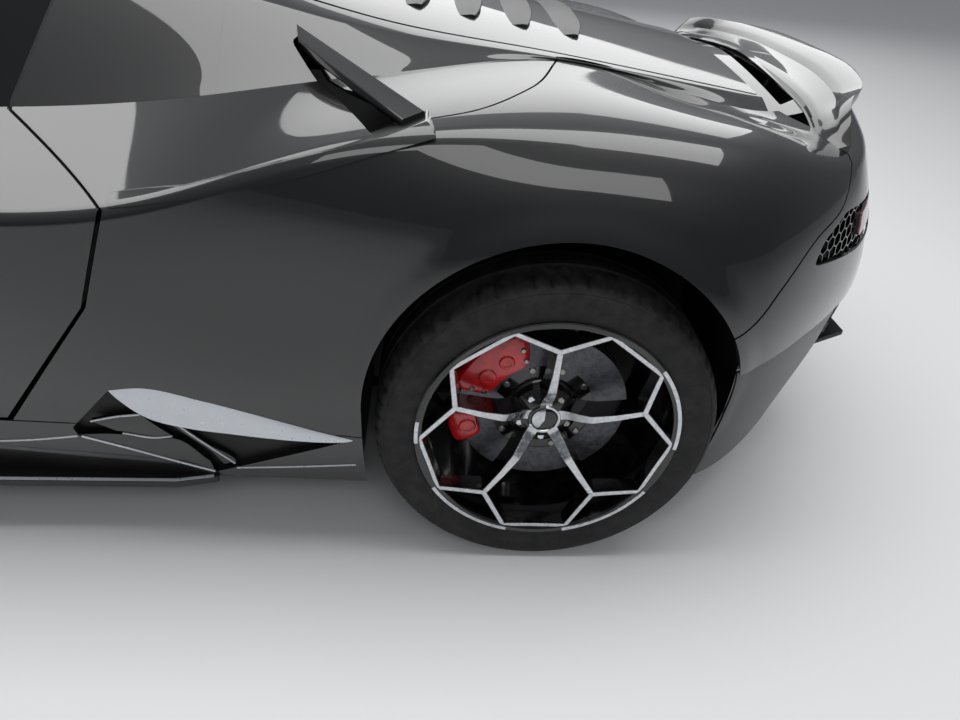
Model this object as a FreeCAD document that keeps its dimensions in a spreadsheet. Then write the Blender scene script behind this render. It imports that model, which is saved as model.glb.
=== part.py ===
"""Mid-engined two-seat supercar, modelled panel by panel at real size.

Millimetres. +X points to the nose, +Y to the car's left side and +Z up. The origin lies on the
ground, halfway along and on the centre plane. Left-hand pieces are modelled, and mirrored for the right.
"""
import FreeCAD
import Part
import math
import os

from FreeCAD import Placement, Rotation, Vector

doc = FreeCAD.newDocument("supercar")

# Driving dimensions: alias, value, what it is
SIZES = [
    ("front_overhang", 975, "nose to front axle"),
    ("wheelbase", 2620, "front axle to rear axle"),
    ("rear_overhang", 915, "rear axle to tail"),
    ("half_width", 962, "centre plane to the widest point of the rear wing"),
    ("sill_height", 150, "ground to the underside of the sill"),
    ("flank_height", 560, "ground to the widest line of the flank"),
    ("shoulder_height", 774, "ground to the shoulder edge at the door's rear corner"),
    ("belt_height", 850, "ground to the base of the side glass"),
    ("roof_height", 1165, "ground to the roof"),
    ("panel_gap", 8, "between a moving panel and its neighbour"),
    ("fixed_gap", 0.6, "between two fixed panels"),
    ("skin", 26, "thickness of a wing, bumper or quarter panel"),
    ("door_thickness", 84, "outer skin to inner trim of a door"),
    ("roof_thickness", 34, "roof, header and pillar depth"),
    ("lid_thickness", 24, "bonnet and engine lid"),
    ("glass_thickness", 6, "window glass"),
    ("front_track", 1640, "tyre centre to tyre centre"),
    ("rear_track", 1590, "tyre centre to tyre centre"),
    ("front_tyre_radius", 327.5, "245/30 R20"),
    ("front_tyre_width", 245, "section width"),
    ("rear_tyre_radius", 345, "305/30 R20"),
    ("rear_tyre_width", 305, "section width"),
    ("bead_radius", 254, "rim seat of a 20 inch wheel"),
    ("rim_flange", 13, "height of the rim's flange above its seat"),
    ("arch_gap", 22, "tyre to arch edge"),
    ("arch_lift", 55, "centre of the rear arch above the axle"),
    ("front_arch_gap", 38, "front tyre to arch edge, for steering lock"),
    ("front_arch_lift", 30, "centre of the front arch above the axle"),
    ("kingpin_inset", 40, "tyre centre to the steering axis"),
    ("front_disc_radius", 190, "front brake disc"),
    ("rear_disc_radius", 178, "rear brake disc"),
    ("disc_thickness", 34, "vented brake disc"),
    ("hub_radius", 72, "wheel hub flange"),
    ("exhaust_radius", 56, "exhaust tip, outside"),
    ("exhaust_wall", 4, "exhaust tip, wall"),
    ("shaft_radius", 18, "rear drive shaft"),
    ("ball_pin_radius", 9, "pins of the knuckles"),
    ("floor_thickness", 12, "flat underfloor"),
    ("cabin_half_width", 640, "centre plane to the inside of the sill"),
    ("tub_wall", 60, "sill box and bulkhead of the tub"),
    ("running_gap", 0.3, "between faces of different pieces that seat on each other"),
]
sheet = doc.addObject("Spreadsheet::Sheet", "Sizes")
for row, (alias, value, note) in enumerate(SIZES, start=1):
    sheet.set(f"A{row}", alias)
    sheet.set(f"B{row}", str(value))
    sheet.set(f"C{row}", note)
    sheet.setAlias(f"B{row}", alias)
doc.recompute()


def size(alias):
    return float(sheet.get(alias))


length = size("front_overhang") + size("wheelbase") + size("rear_overhang")
nose_x = length / 2
tail_x = -length / 2
front_x = nose_x - size("front_overhang")
rear_x = tail_x + size("rear_overhang")
cabin_x = (front_x + rear_x) / 2
half_width = size("half_width")
gap = size("panel_gap")
fixed_gap = size("fixed_gap")
running_gap = size("running_gap")
skin = size("skin")

front_arch_radius = size("front_tyre_radius") + size("front_arch_gap")
front_arch_z = size("front_tyre_radius") + size("front_arch_lift")
rear_arch_radius = size("rear_tyre_radius") + size("arch_gap")
rear_arch_z = size("rear_tyre_radius") + size("arch_lift")

# Body sides. Each station is an upright plane at x, y on the flank's widest line, turned so that its
# normal faces the stated way (0 ahead, 90 left, 180 behind). A hoop is given as how far it lies inside
# the flank, and its height above its own named height: sill, low, flank, shoulder, belt.
LOW_RISE = 180
#  station        anchor  dx     dy    turn   sill       low        flank  shoulder   belt
STATIONS = [
    ("nose",       nose_x,   0, -half_width,   0, (60, -35), (10, -80), -160, (70, -254), (130, -290)),
    ("nose_side",  nose_x, -75, -532,  18, (60, -35), (10, -70), -150, (70, -239), (150, -270)),
    ("lamp",       nose_x, -275, -172, 48, (60, -30), (10, -60), -130, (60, -199), (230, -210)),
    ("front_arch", front_x, 375, -37,  78, (60, -10), (5, -20),   -80, (40, -84), (215, -142)),
    ("front_axle", front_x,  0,   -7,  90, (60, 0),   (5, 0),       0, (60, 1), (255, -60)),
    ("door_front", front_x, -400, -22, 90, (80, 0),   (25, 0),      0, (30, 1), (200, -35)),
    ("door_mid",   cabin_x, 225, -40,  90, (80, 0),   (25, -20),    0, (10, -2), (185, 0)),
    ("door_rear",  rear_x, 769,  -17,  90, (85, 0),   (25, 0),      0, (15, 0), (245, 36)),
    ("rear_arch",  rear_x, 350,   -7,  90, (85, 0),   (15, 10),    70, (55, 126), (345, 90)),
    ("rear_axle",  rear_x,   0,    0,  90, (85, 0),   (15, 20),   130, (105, 148), (480, 112)),
    ("arch_rear",  rear_x, -365, -32, 100, (60, 20),  (20, 30),    90, (110, 121), (455, 62)),
    ("corner",     rear_x, -640, -252, 130, (60, 30), (20, 40),    60, (70, 66), (280, 40)),
    ("tail_side",  tail_x,  95, -532, 155, (60, 40),  (0, 60),     60, (80, 61), (150, 50)),
    ("tail",       tail_x,   0, -half_width, 180, (60, 40),  (0, 60),     60, (90, 61), (150, 55)),
]
SILL, LOW, FLANK, SHOULDER, BELT = range(5)


class Station:
    """One upright section of the body side: where it stands, which way it faces and its hoops."""

    def __init__(self, x, y, turn, hoops):
        self.x, self.y, self.turn, self.hoops = x, y, turn, hoops

    def point(self, inset, z):
        angle = math.radians(self.turn)
        return Vector(self.x - inset * math.cos(angle), self.y - inset * math.sin(angle), z)

    def between(self, other, share):
        """The station at that share of the way to another one."""

        def mix(a, b):
            return a + (b - a) * share

        hoops = [(mix(p[0], q[0]), mix(p[1], q[1])) for p, q in zip(self.hoops, other.hoops)]
        return Station(mix(self.x, other.x), mix(self.y, other.y), mix(self.turn, other.turn), hoops)


def read_station(row):
    name, anchor, dx, dy, turn, sill, low, flank, shoulder, belt = row
    hoops = [
        (sill[0], size("sill_height") + sill[1]),
        (low[0], size("sill_height") + LOW_RISE + low[1]),
        (0, size("flank_height") + flank),
        (shoulder[0], size("shoulder_height") + shoulder[1]),
        (belt[0], size("belt_height") + belt[1]),
    ]
    return Station(anchor + dx, half_width + dy, turn, hoops)


stations = {row[0]: read_station(row) for row in STATIONS}
station_names = [row[0] for row in STATIONS]


def belt_at(x):
    """Left belt point at x: (y, z)."""
    line = [s.point(*s.hoops[BELT]) for s in stations.values()]
    for a, b in zip(line, line[1:]):
        if b.x <= x <= a.x:
            share = (a.x - x) / (a.x - b.x)
            return a.y + (b.y - a.y) * share, a.z + (b.z - a.z) * share
    raise ValueError(f"no belt at x = {x}")


# Upper body, front to back. The rail is the roof's edge, the belt comes from the sides.
#    anchor   dx    rail y  rail z above belt   centre z above belt
UPPER = [
    (front_x, -325,  700,   -22,   22),
    (front_x, -660,  640,    92,  150),
    (cabin_x,  275,  560,   238,  276),
    (cabin_x,   25,  545,   272,  315),
    (cabin_x, -335,  535,   260,  303),
    (rear_x,   635,  520,   202,  256),
    (rear_x,   335,  500,   148,  195),
    (rear_x,     0,  478,   116,  148),
    (rear_x,  -365,  452,    70,   97),
    (rear_x,  -590,  430,    42,   64),
]
CROWN_SHARE = 0.55  # where the roof's crown is met between rail and centre
CROWN_RISE = 0.75
rise = (size("roof_height") - size("belt_height")) / 315


class Upper:
    """One cross section of the roof, glass or deck, as a half outline from the belt to the centre."""

    def __init__(self, x, rail_y, rail_z, centre_z):
        belt_y, belt_z = belt_at(x)
        crown_z = rail_z + (centre_z - rail_z) * CROWN_RISE
        self.x = x
        self.half = [(belt_y, belt_z), (rail_y, rail_z), (rail_y * (1 - CROWN_SHARE), crown_z), (0, centre_z)]


uppers = [
    Upper(anchor + dx, ry, size("belt_height") + rz * rise, size("belt_height") + cz * rise)
    for anchor, dx, ry, rz, cz in UPPER
]


def offset_line(points, distance):
    """The open line of (inset, height) points moved sideways by distance, to the right of its run."""
    moved = []
    for i, (u, v) in enumerate(points):
        normals = []
        for a, b in ((i - 1, i), (i, i + 1)):
            if a < 0 or b >= len(points):
                continue
            du, dv = points[b][0] - points[a][0], points[b][1] - points[a][1]
            span = math.hypot(du, dv)
            normals.append((dv / span, -du / span))
        nu = sum(n[0] for n in normals) / len(normals)
        nv = sum(n[1] for n in normals) / len(normals)
        scale = distance / (nu * nu + nv * nv)
        moved.append((u + nu * scale, v + nv * scale))
    return moved


def feature(name, shape):
    made = doc.addObject("Part::Feature", name)
    made.Shape = shape
    return made


def closed_wire(name, points):
    return feature(name, Part.makePolygon(points + [points[0]]))


def loft(name, outlines):
    """A solid through closed outlines of as many corners, straight from each to the next."""
    made = doc.addObject("Part::Loft", name)
    made.Sections = [closed_wire(f"{name}_section{i}", pts) for i, pts in enumerate(outlines)]
    made.Solid = True
    made.Ruled = True
    return made


def side_outline(station, first, last, thickness):
    """Closed outline of the body side at a station, from one hoop to another, that thick."""
    outer = station.hoops[first:last + 1]
    inner = offset_line(outer, thickness)
    return [station.point(*p) for p in outer] + [station.point(*p) for p in reversed(inner)]


def side_loft(name, run, first, last, thickness):
    return loft(name, [side_outline(s, first, last, thickness) for s in run])


def layer_outline(station, first, last, depth, thickness):
    """As side_outline, its outer face at that depth under the skin's outer face."""
    outer = offset_line(station.hoops[first:last + 1], depth)
    inner = offset_line(station.hoops[first:last + 1], depth + thickness)
    return [station.point(*p) for p in outer] + [station.point(*p) for p in reversed(inner)]


def layer_loft(name, run, first, last, depth, thickness):
    return loft(name, [layer_outline(s, first, last, depth, thickness) for s in run])


def run_of(first, last):
    """The stations from one name to another."""
    a, b = station_names.index(first), station_names.index(last)
    return [stations[n] for n in station_names[a:b + 1]]


def upper_outline(section, depth, thickness, first=0):
    """Closed outline across the car, from one side to the other, its outer face at that depth."""
    half = [(-y, z) for y, z in section.half[first:]]
    full = half + [(-y, z) for y, z in reversed(half[:-1])]
    outer = offset_line(full, depth) if depth else full
    inner = offset_line(full, depth + thickness)
    return [Vector(section.x, -y, z) for y, z in outer + inner[::-1]]


def upper_loft(name, sections, depth, thickness, first=0):
    return loft(name, [upper_outline(s, depth, thickness, first) for s in sections])


def prism(name, points, direction, reach):
    """A plane outline extruded both ways along a direction."""
    face = feature(name + "_outline", Part.Face(Part.makePolygon(points + [points[0]])))
    made = doc.addObject("Part::Extrusion", name)
    made.Base = face
    made.DirMode = "Custom"
    made.Dir = direction
    made.LengthFwd = reach
    made.LengthRev = 0
    made.Solid = True
    return made


def side_prism(name, points, y_from=0.0, y_to=1200.0):
    """An outline given as (x, z), as deep as from one y to another."""
    return prism(name, [Vector(x, y_from, z) for x, z in points], Vector(0, 1, 0), y_to - y_from)


def plan_prism(name, points, z_from=0.0, z_to=1400.0):
    """An outline given as (x, y), as tall as from one z to another."""
    return prism(name, [Vector(x, y, z_from) for x, y in points], Vector(0, 0, 1), z_to - z_from)


def inside(points, distance):
    """A closed plane outline with every edge moved in by that distance."""
    area = sum(p[0] * q[1] - q[0] * p[1] for p, q in zip(points, points[1:] + points[:1]))
    turn = 1 if area > 0 else -1
    moved = []
    for before, here, after in zip(points[-1:] + points[:-1], points, points[1:] + points[:1]):
        normals = []
        for a, b in ((before, here), (here, after)):
            du, dv = b[0] - a[0], b[1] - a[1]
            span = math.hypot(du, dv)
            normals.append((-dv / span * turn, du / span * turn))
        nu = (normals[0][0] + normals[1][0]) / 2
        nv = (normals[0][1] + normals[1][1]) / 2
        scale = distance / (nu * nu + nv * nv)
        moved.append((here[0] + nu * scale, here[1] + nv * scale))
    return moved


def rear_prism(name, points, x_from, x_to):
    """An outline given as (y, z), extruded along the car."""
    return prism(name, [Vector(x_from, y, z) for y, z in points], Vector(1, 0, 0), x_to - x_from)


def cut(name, base, tool):
    made = doc.addObject("Part::Cut", name)
    made.Base, made.Tool = base, tool
    return made


def common(name, base, tool):
    made = doc.addObject("Part::Common", name)
    made.Base, made.Tool = base, tool
    return made


def fuse(name, *shapes):
    made = doc.addObject("Part::MultiFuse", name)
    made.Shapes = list(shapes)
    return made


def together(name, *objects):
    """Solids that share a node without touching."""
    made = doc.addObject("Part::Compound", name)
    made.Links = list(objects)
    return made


def mirrored(name, source):
    made = doc.addObject("Part::Mirroring", name)
    made.Source = source
    made.Base = Vector(0, 0, 0)
    made.Normal = Vector(0, 1, 0)
    return made


def box(name, x0, x1, y0, y1, z0, z1):
    made = doc.addObject("Part::Box", name)
    made.Length, made.Width, made.Height = x1 - x0, y1 - y0, z1 - z0
    made.Placement = Placement(Vector(x0, y0, z0), Rotation())
    return made


def cross_cylinder(name, x, z, radius, y0, y1):
    """A cylinder that lies across the car."""
    made = doc.addObject("Part::Cylinder", name)
    made.Radius, made.Height = radius, y1 - y0
    made.Placement = Placement(Vector(x, y0, z), Rotation(Vector(1, 0, 0), -90))
    return made


NODES = []


def node(label, made):
    made.Label = label
    NODES.append(made)
    return made


def pair(label, left):
    """The left piece and its mirrored right one, as two nodes."""
    node(label + "_left", left)
    node(label + "_right", mirrored(label + "_mirror", left))


def both(label, *left):
    """The left pieces and their mirrored right ones, as one node."""
    right = [mirrored(f"{label}_mirror{i}", made) for i, made in enumerate(left)]
    node(label, together(label, *left, *right))


def without(base, *tools):
    """The base with each tool taken away in turn."""
    for tool in tools:
        base = cut(f"{base.Name}_less_{tool.Name}", base, tool)
    return base


ARCH_REACH = 460  # how far an arch's cut reaches in from the flank


def arch_space(name, x, z, radius, y0, y1):
    """The space of a wheel arch: round on top and straight down to the ground."""
    top = cross_cylinder(name + "_round", x, z, radius, y0, y1)
    return fuse(name, top, box(name + "_straight", x - radius, x + radius, y0, y1, -100, z))


arch_y0, arch_y1 = half_width - ARCH_REACH, half_width + 40
front_arch = arch_space("front_arch_cut", front_x, front_arch_z, front_arch_radius, arch_y0, arch_y1)
rear_arch = arch_space("rear_arch_cut", rear_x, rear_arch_z, rear_arch_radius, arch_y0, arch_y1)

# Where the panels meet, seen from the side
door_top = size("belt_height") + 400
door_rear_x = rear_x + 769
door_front_x = front_x - 420
sill_top = size("sill_height") + LOW_RISE - 4
DOOR_FOOT_DX = 265  # the door's rear edge leans back from its foot to the shoulder
BELT_LEAN = 206  # and forward again from the shoulder to the glass
door_foot_x = door_rear_x + DOOR_FOOT_DX
glass_foot_x = door_rear_x + BELT_LEAN
DOOR_REAR_LINE = [
    (door_foot_x, sill_top),
    (door_rear_x + 60, size("flank_height") + 40),
    (door_rear_x, size("shoulder_height")),
    (glass_foot_x, size("belt_height") + 18),
]


def shifted(line, dx):
    return [(x + dx, z) for x, z in line]


# Front wing
front_wing_blank = side_loft(
    "front_wing_blank",
    run_of("front_arch", "door_front") + [stations["door_front"].between(stations["door_mid"], 0.2)],
    SILL, BELT, skin,
)
wing_outline = side_prism("wing_outline", [
    (front_x + 375 - fixed_gap, sill_top + fixed_gap), (front_x + 375 - fixed_gap, 2 * door_top),
    (door_front_x + gap, 2 * door_top), (door_front_x + gap, sill_top + fixed_gap),
])
front_wing = cut("front_wing", common("front_wing_trim", front_wing_blank, wing_outline), front_arch)
# the wings give way to the bonnet further down

# Doors
door_blank = side_loft("door_blank", run_of("door_front", "door_rear"), LOW, BELT, size("door_thickness"))
door_outline = side_prism(
    "door_outline",
    [(door_front_x - gap / 4, sill_top + gap), (door_front_x - gap / 4, door_top)]
    + [(glass_foot_x + gap, door_top)] + shifted(DOOR_REAR_LINE[::-1], gap)[:-1]
    + [(door_foot_x + gap, sill_top + gap)],
)
door = common("door", door_blank, door_outline)

# Sills
sill_blank = side_loft("sill_blank", run_of("front_axle", "rear_axle"), SILL, LOW, skin)
sill_outline = side_prism("sill_outline", [
    (front_x, 0), (front_x, sill_top), (rear_x, sill_top), (rear_x, 0),
])
sill_trim = common("sill_trim", sill_blank, sill_outline)
sill = cut("sill", cut("sill_front_end", sill_trim, front_arch), rear_arch)

# Quarter panels
quarter_run = [stations["door_mid"]] + run_of("door_rear", "corner")
quarter_blank = side_loft("quarter_blank", quarter_run, SILL, BELT, skin)
flank = size("flank_height")
BUMPER_LINE = [  # the bumper's upper edge, from the arch up to the tail's corner
    (rear_x - 290, flank + 30), (rear_x - 338, flank + 54), (rear_x - 393, flank + 120), (rear_x - 462, flank + 190),
    (rear_x - 545, flank + 227), (rear_x - 590, flank + 290),
]
quarter_outline = side_prism(
    "quarter_outline",
    [(x + fixed_gap, z + fixed_gap) for x, z in BUMPER_LINE] + [(BUMPER_LINE[-1][0] + fixed_gap, door_top)]
    + [(glass_foot_x, door_top)] + DOOR_REAR_LINE[::-1][:-1]
    + [(door_foot_x, sill_top + fixed_gap), (rear_x, sill_top + fixed_gap), (rear_x, flank + 30)],
)
quarter_cut = cut("quarter", common("quarter_trim", quarter_blank, quarter_outline), rear_arch)


def tapered_layer(name, run, first, last, depths, thickness):
    """As layer_loft, with a depth of its own at each station."""
    return loft(name, [layer_outline(s, first, last, d, thickness) for s, d in zip(run, depths)])


# Shoulder strip: flush at the door, standing proud of the wing further back
STRIP_PROUD = 12
strip_side = [
    (rear_x + 763, 777), (rear_x + 592, 808), (rear_x + 447, 848), (rear_x + 337, 885), (rear_x + 242, 913),
    (rear_x + 257, 930), (rear_x + 353, 903), (rear_x + 495, 863), (rear_x + 643, 816), (rear_x + 768, 792),
]
strip_run = run_of("door_rear", "rear_axle")
strip = common(
    "shoulder_strip", tapered_layer("strip_layer", strip_run, FLANK, BELT, (0, -0.8 * STRIP_PROUD, -STRIP_PROUD), 30),
    side_prism("strip_outline", strip_side, 500),
)

# Upper intake: a slot behind the window with a straight blade over its rear edge
SLOT_PLAN = [
    (rear_x + 518, half_width - 386), (rear_x + 441, half_width - 294), (rear_x + 346, half_width - 82),
    (rear_x + 300, half_width - 94), (rear_x + 286, half_width - 114), (rear_x + 498, half_width - 402),
]
slot_floor_z = size("shoulder_height") + 6
slot_space = plan_prism("upper_slot", SLOT_PLAN, slot_floor_z, 1400)
#              front edge (x, y, z)                                rear edge
BLADE_ENDS = [
    ((rear_x + 503, half_width - 378, 984), (rear_x + 510, half_width - 411, 1008)),
    ((rear_x + 301, half_width - 103, 926), (rear_x + 263, half_width - 131, 936)),
]
BLADE_FRONT, BLADE_REAR = 14, 46  # how thick it is at its front and rear edge


def blade(name, grow):
    """The blade as a bar between its two ends, grown all round by that much."""
    sections = []
    for (fx, fy, fz), (bx, by, bz) in BLADE_ENDS:
        span = math.hypot(bx - fx, by - fy)
        ux, uy = (bx - fx) / span * grow, (by - fy) / span * grow
        sections.append([
            Vector(fx - ux, fy - uy, fz + grow), Vector(bx + ux, by + uy, bz + grow),
            Vector(bx + ux, by + uy, bz - BLADE_REAR - grow), Vector(fx - ux, fy - uy, fz - BLADE_FRONT - grow),
        ])
    return loft(name, sections)


# Side intake ahead of the rear wheel: a pocket in the quarter and the sill with fins in it
POCKET_DEPTH = 18
INTAKE_SIDE = [
    (rear_x + 832, 420), (rear_x + 928, 312), (rear_x + 926, 286), (rear_x + 688, 164), (rear_x + 636, 188),
    (rear_x + 392, 311), (rear_x + 546, 370), (rear_x + 663, 405), (rear_x + 776, 430),
]
intake_run = [stations["door_mid"]] + run_of("door_rear", "rear_axle")
pocket = common(
    "intake_pocket", layer_loft("pocket_layer", intake_run, SILL, FLANK, -30, 30 + POCKET_DEPTH),
    side_prism("pocket_outline", INTAKE_SIDE, 500),
)
#    name     outline (x, z)                                                       outer depth under the skin
FINS = [
    ("wing", [(rear_x + 826, 419), (rear_x + 764, 363), (rear_x + 694, 346), (rear_x + 498, 324),
              (rear_x + 400, 312), (rear_x + 546, 368), (rear_x + 663, 403), (rear_x + 776, 427)], -16),
    ("leaf", [(rear_x + 888, 331), (rear_x + 789, 358), (rear_x + 745, 290), (rear_x + 782, 283)], 5),
    ("blade", [(rear_x + 921, 286), (rear_x + 845, 292), (rear_x + 780, 279), (rear_x + 742, 286),
               (rear_x + 690, 204), (rear_x + 684, 168)], 1),
    ("strut", [(rear_x + 758, 359), (rear_x + 738, 346), (rear_x + 640, 191), (rear_x + 676, 181),
               (rear_x + 680, 206)], 8),
]
fins = [
    common(
        f"fin_{name}",
        layer_loft(f"fin_{name}_layer", intake_run, SILL, FLANK, depth, POCKET_DEPTH - running_gap - depth),
        side_prism(f"fin_{name}_outline", points, 500),
    )
    for name, points, depth in FINS
]
both("side_vanes", *fins)

# Bumpers wrap from one wheel arch to the other
def wrap(name, run, first, last, thickness):
    """A loft round the nose or tail: the left half and its mirror in one solid."""
    left = side_loft(name + "_half", run, first, last, thickness)
    return fuse(name + "_blank", left, mirrored(name + "_other_half", left))


front_bumper_run = [stations["front_arch"]] + run_of("nose", "lamp")[::-1]
front_bumper_blank = wrap("front_bumper", front_bumper_run, SILL, BELT, skin)
front_arch_right = mirrored("front_arch_right_cut", front_arch)
front_bumper_trim = cut(
    "front_bumper_right_end", cut("front_bumper_left_end", front_bumper_blank, front_arch), front_arch_right
)

rear_bumper_run = run_of("rear_axle", "tail")
rear_bumper_zone = side_prism("rear_bumper_zone", [(rear_x, flank + 30)] + BUMPER_LINE + [
    (BUMPER_LINE[-1][0], 2 * door_top), (tail_x - 100, 2 * door_top), (tail_x - 100, 0), (rear_x, 0),
], -half_width - 100, half_width + 100)
# its lower edge, over the diffuser's cheeks, and the vent in its corner
BUMPER_FOOT = [(rear_x, flank - 62), (rear_x - 363, flank - 56), (rear_x - 508, flank - 21), (rear_x - 640, flank - 14)]
bumper_below = side_prism("bumper_below", BUMPER_FOOT + [
    (tail_x - 100, flank - 14), (tail_x - 100, 0), (rear_x, 0),
], -half_width - 100, half_width + 100)
CORNER_VENT = [
    (rear_x - 470, flank + 140), (rear_x - 640, flank + 112), (rear_x - 745, flank + 108), (rear_x - 745, flank + 190),
    (rear_x - 560, flank + 212), (rear_x - 490, flank + 180),
]
vent_y = half_width - 410
corner_vent = side_prism("corner_vent", CORNER_VENT, vent_y)
rear_bumper_whole = wrap("rear_bumper", rear_bumper_run, SILL, BELT, skin)
rear_arch_right = mirrored("rear_arch_right_cut", rear_arch)
rear_bumper_blank = without(common("rear_bumper_trim", rear_bumper_whole, rear_bumper_zone), rear_arch, rear_arch_right,
                            bumper_below, corner_vent, mirrored("corner_vent_right", corner_vent))


# Lamps are cut out of the bumpers' skin, flush with it
LAMP_DEPTH = 70


headlamp_plan = [
    (nose_x - 215, half_width - 300), (nose_x - 300, half_width - 150), (front_x + 395, half_width - 70),
    (front_x + 385, half_width - 150), (nose_x - 290, half_width - 340),
]
headlamp_blank = side_loft("headlamp_blank", front_bumper_run, FLANK, BELT, LAMP_DEPTH)
headlamp_z = size("shoulder_height") - 254
headlamp_left = common(
    "headlamp", headlamp_blank, plan_prism("headlamp_outline", inside(headlamp_plan, running_gap), headlamp_z)
)
headlamp_cut = plan_prism("headlamp_cut", headlamp_plan, headlamp_z - 60)

# Front intakes, seen from ahead
intake_outline = [
    (260, size("sill_height") + 30), (330, size("sill_height") + 210), (half_width - 190, size("sill_height") + 250),
    (half_width - 140, size("sill_height") + 130), (half_width - 250, size("sill_height") + 30),
]
intake_cut = rear_prism("intake_cut", intake_outline, front_x + 380, nose_x + 20)
front_openings = [headlamp_cut, mirrored("headlamp_cut_right", headlamp_cut),
                  intake_cut, mirrored("intake_cut_right", intake_cut)]
front_bumper_last = front_bumper_trim
for i, opening in enumerate(front_openings):
    front_bumper_last = cut(f"front_bumper_opening{i}", front_bumper_last, opening)
node("headlamps", together("headlamps", headlamp_left, mirrored("headlamp_right", headlamp_left)))


def deeper(station, depth):
    """The station with its hoops moved in by that depth, for what backs the skin."""
    return Station(station.x, station.y, station.turn, offset_line(station.hoops, depth))


GRILLE_THICKNESS = 8
grille_run = [deeper(s, skin + running_gap) for s in front_bumper_run]
grille_blank = side_loft("front_grille_blank", grille_run, SILL, FLANK, GRILLE_THICKNESS)
grille_reach = 12
grille_left = common("front_grille", grille_blank, rear_prism(
    "front_grille_outline", inside(intake_outline, -grille_reach), front_x + 390, nose_x + 20
))
grille_right = mirrored("front_grille_right", grille_left)

# Rear fascia: tail lamps in a slot under the spoiler, a mesh between them and two exhausts
fascia_top = size("shoulder_height") - 94
tail_lamp_outline = [
    (330, fascia_top + 10), (345, fascia_top + 55), (half_width - 300, fascia_top + 60),
    (half_width - 275, fascia_top + 15),
]
tail_lamp_x = rear_x - 560
tail_lamp_blank = side_loft("tail_lamp_blank", rear_bumper_run, FLANK, SHOULDER, LAMP_DEPTH)
tail_lamp_left = common("tail_lamp", tail_lamp_blank, rear_prism(
    "tail_lamp_shape", inside(tail_lamp_outline, running_gap), tail_x - 50, tail_lamp_x
))
tail_lamp_cut = rear_prism("tail_lamp_cut", tail_lamp_outline, tail_x - 50, tail_lamp_x)
fascia_outline = [
    (-560, size("sill_height") + 235), (-620, fascia_top - 15), (620, fascia_top - 15),
    (560, size("sill_height") + 235),
]
fascia_cut = rear_prism("fascia_cut", fascia_outline, tail_x - 50, tail_lamp_x)
rear_bumper_last = rear_bumper_blank
diffuser_cut = box("diffuser_cut", tail_x - 50, rear_x - 500, -480, 480, 0, 352)
for i, opening in enumerate([
    tail_lamp_cut, mirrored("tail_lamp_cut_right", tail_lamp_cut), fascia_cut, diffuser_cut,
]):
    rear_bumper_last = cut(f"rear_bumper_opening{i}", rear_bumper_last, opening)
node("tail_lamps", together("tail_lamps", tail_lamp_left, mirrored("tail_lamp_right", tail_lamp_left)))

mesh_run = [deeper(s, skin + running_gap) for s in rear_bumper_run]
mesh_blank = wrap("rear_mesh", mesh_run, LOW, SHOULDER, GRILLE_THICKNESS)
mesh_panel = common("rear_mesh_panel", mesh_blank, rear_prism(
    "rear_mesh_outline", inside(fascia_outline, -grille_reach), tail_x - 50, tail_lamp_x
))
vent_mesh_blank = side_loft("vent_mesh_blank", mesh_run, FLANK, SHOULDER, GRILLE_THICKNESS)
vent_mesh = without(
    common("vent_mesh", vent_mesh_blank, side_prism("vent_mesh_outline", inside(CORNER_VENT, -grille_reach), vent_y - 12)),
    rear_prism("vent_mesh_limit", [(0, 0), (0, 900), (half_width - 262, 900), (half_width - 262, 0)], tail_x - 50, tail_lamp_x),
)
EXHAUST_Y, EXHAUST_LENGTH = 215, 190
exhaust_z = size("flank_height") - 40


def bound_rod(name, radius, reach, place):
    """A cylinder whose radius follows the sheet."""
    rod = doc.addObject("Part::Cylinder", name)
    rod.Height = reach
    rod.Placement = place
    rod.setExpression("Radius", radius)
    return rod


def pipe(name, x, y, z, reach):
    """An exhaust tip along the car, its open end at x."""
    place = Placement(Vector(x, y, z), Rotation(Vector(0, 1, 0), 90))
    return cut(name, bound_rod(name + "_outside", "Sizes.exhaust_radius", reach, place),
               bound_rod(name + "_inside", "Sizes.exhaust_radius - Sizes.exhaust_wall", reach, place))


exhausts = [pipe(f"exhaust_{i}", tail_x + 12, side * EXHAUST_Y, exhaust_z, EXHAUST_LENGTH)
            for i, side in enumerate((1, -1))]
for i, side in enumerate((1, -1)):
    hole = bound_rod(f"exhaust_hole{i}", "Sizes.exhaust_radius + Sizes.running_gap", EXHAUST_LENGTH * 2,
                     Placement(Vector(tail_x - 20, side * EXHAUST_Y, exhaust_z), Rotation(Vector(0, 1, 0), 90)))
    mesh_panel = cut(f"rear_mesh_hole{i}", mesh_panel, hole)
node("grilles", together("grilles", grille_left, grille_right, mesh_panel, vent_mesh,
                         mirrored("vent_mesh_right", vent_mesh)))
node("exhaust_tips", together("exhaust_tips", *exhausts))

# Openings in the upper body, seen from above
roof_rear_x = rear_x + 775
lid_front_x = rear_x + 695
lid_rear_x = rear_x - 465
screen_top_x = cabin_x + 255
bonnet_rear_x = front_x - 225
GLASS_DEPTH = 4
PILLAR = 46
LEDGE = 16  # how far the windscreen laps onto its frame
TALL = 1400


def rail_y(x):
    """Half width of the roof's edge at x."""
    for a, b in zip(uppers, uppers[1:]):
        if b.x <= x <= a.x:
            return a.half[1][0] + (b.half[1][0] - a.half[1][0]) * (a.x - x) / (a.x - b.x)
    raise ValueError(f"no rail at x = {x}")


def across(half, inset=0.0):
    """An outline given on the left, front to back or back to front, with its mirror and pulled in by inset."""
    whole = half + [(x, -y) for x, y in reversed(half)]
    return inside(whole, inset) if inset else whole


# Door hinge: its pin stands just behind the wing's skin
HINGE_AHEAD = 60
HINGE_PIN, HINGE_HEIGHT, LEAF = 4, 60, 10
hinge_x = door_front_x - gap / 4 + HINGE_AHEAD
hinge_y = half_width - 38
hinge_z = size("flank_height") - 15

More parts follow.
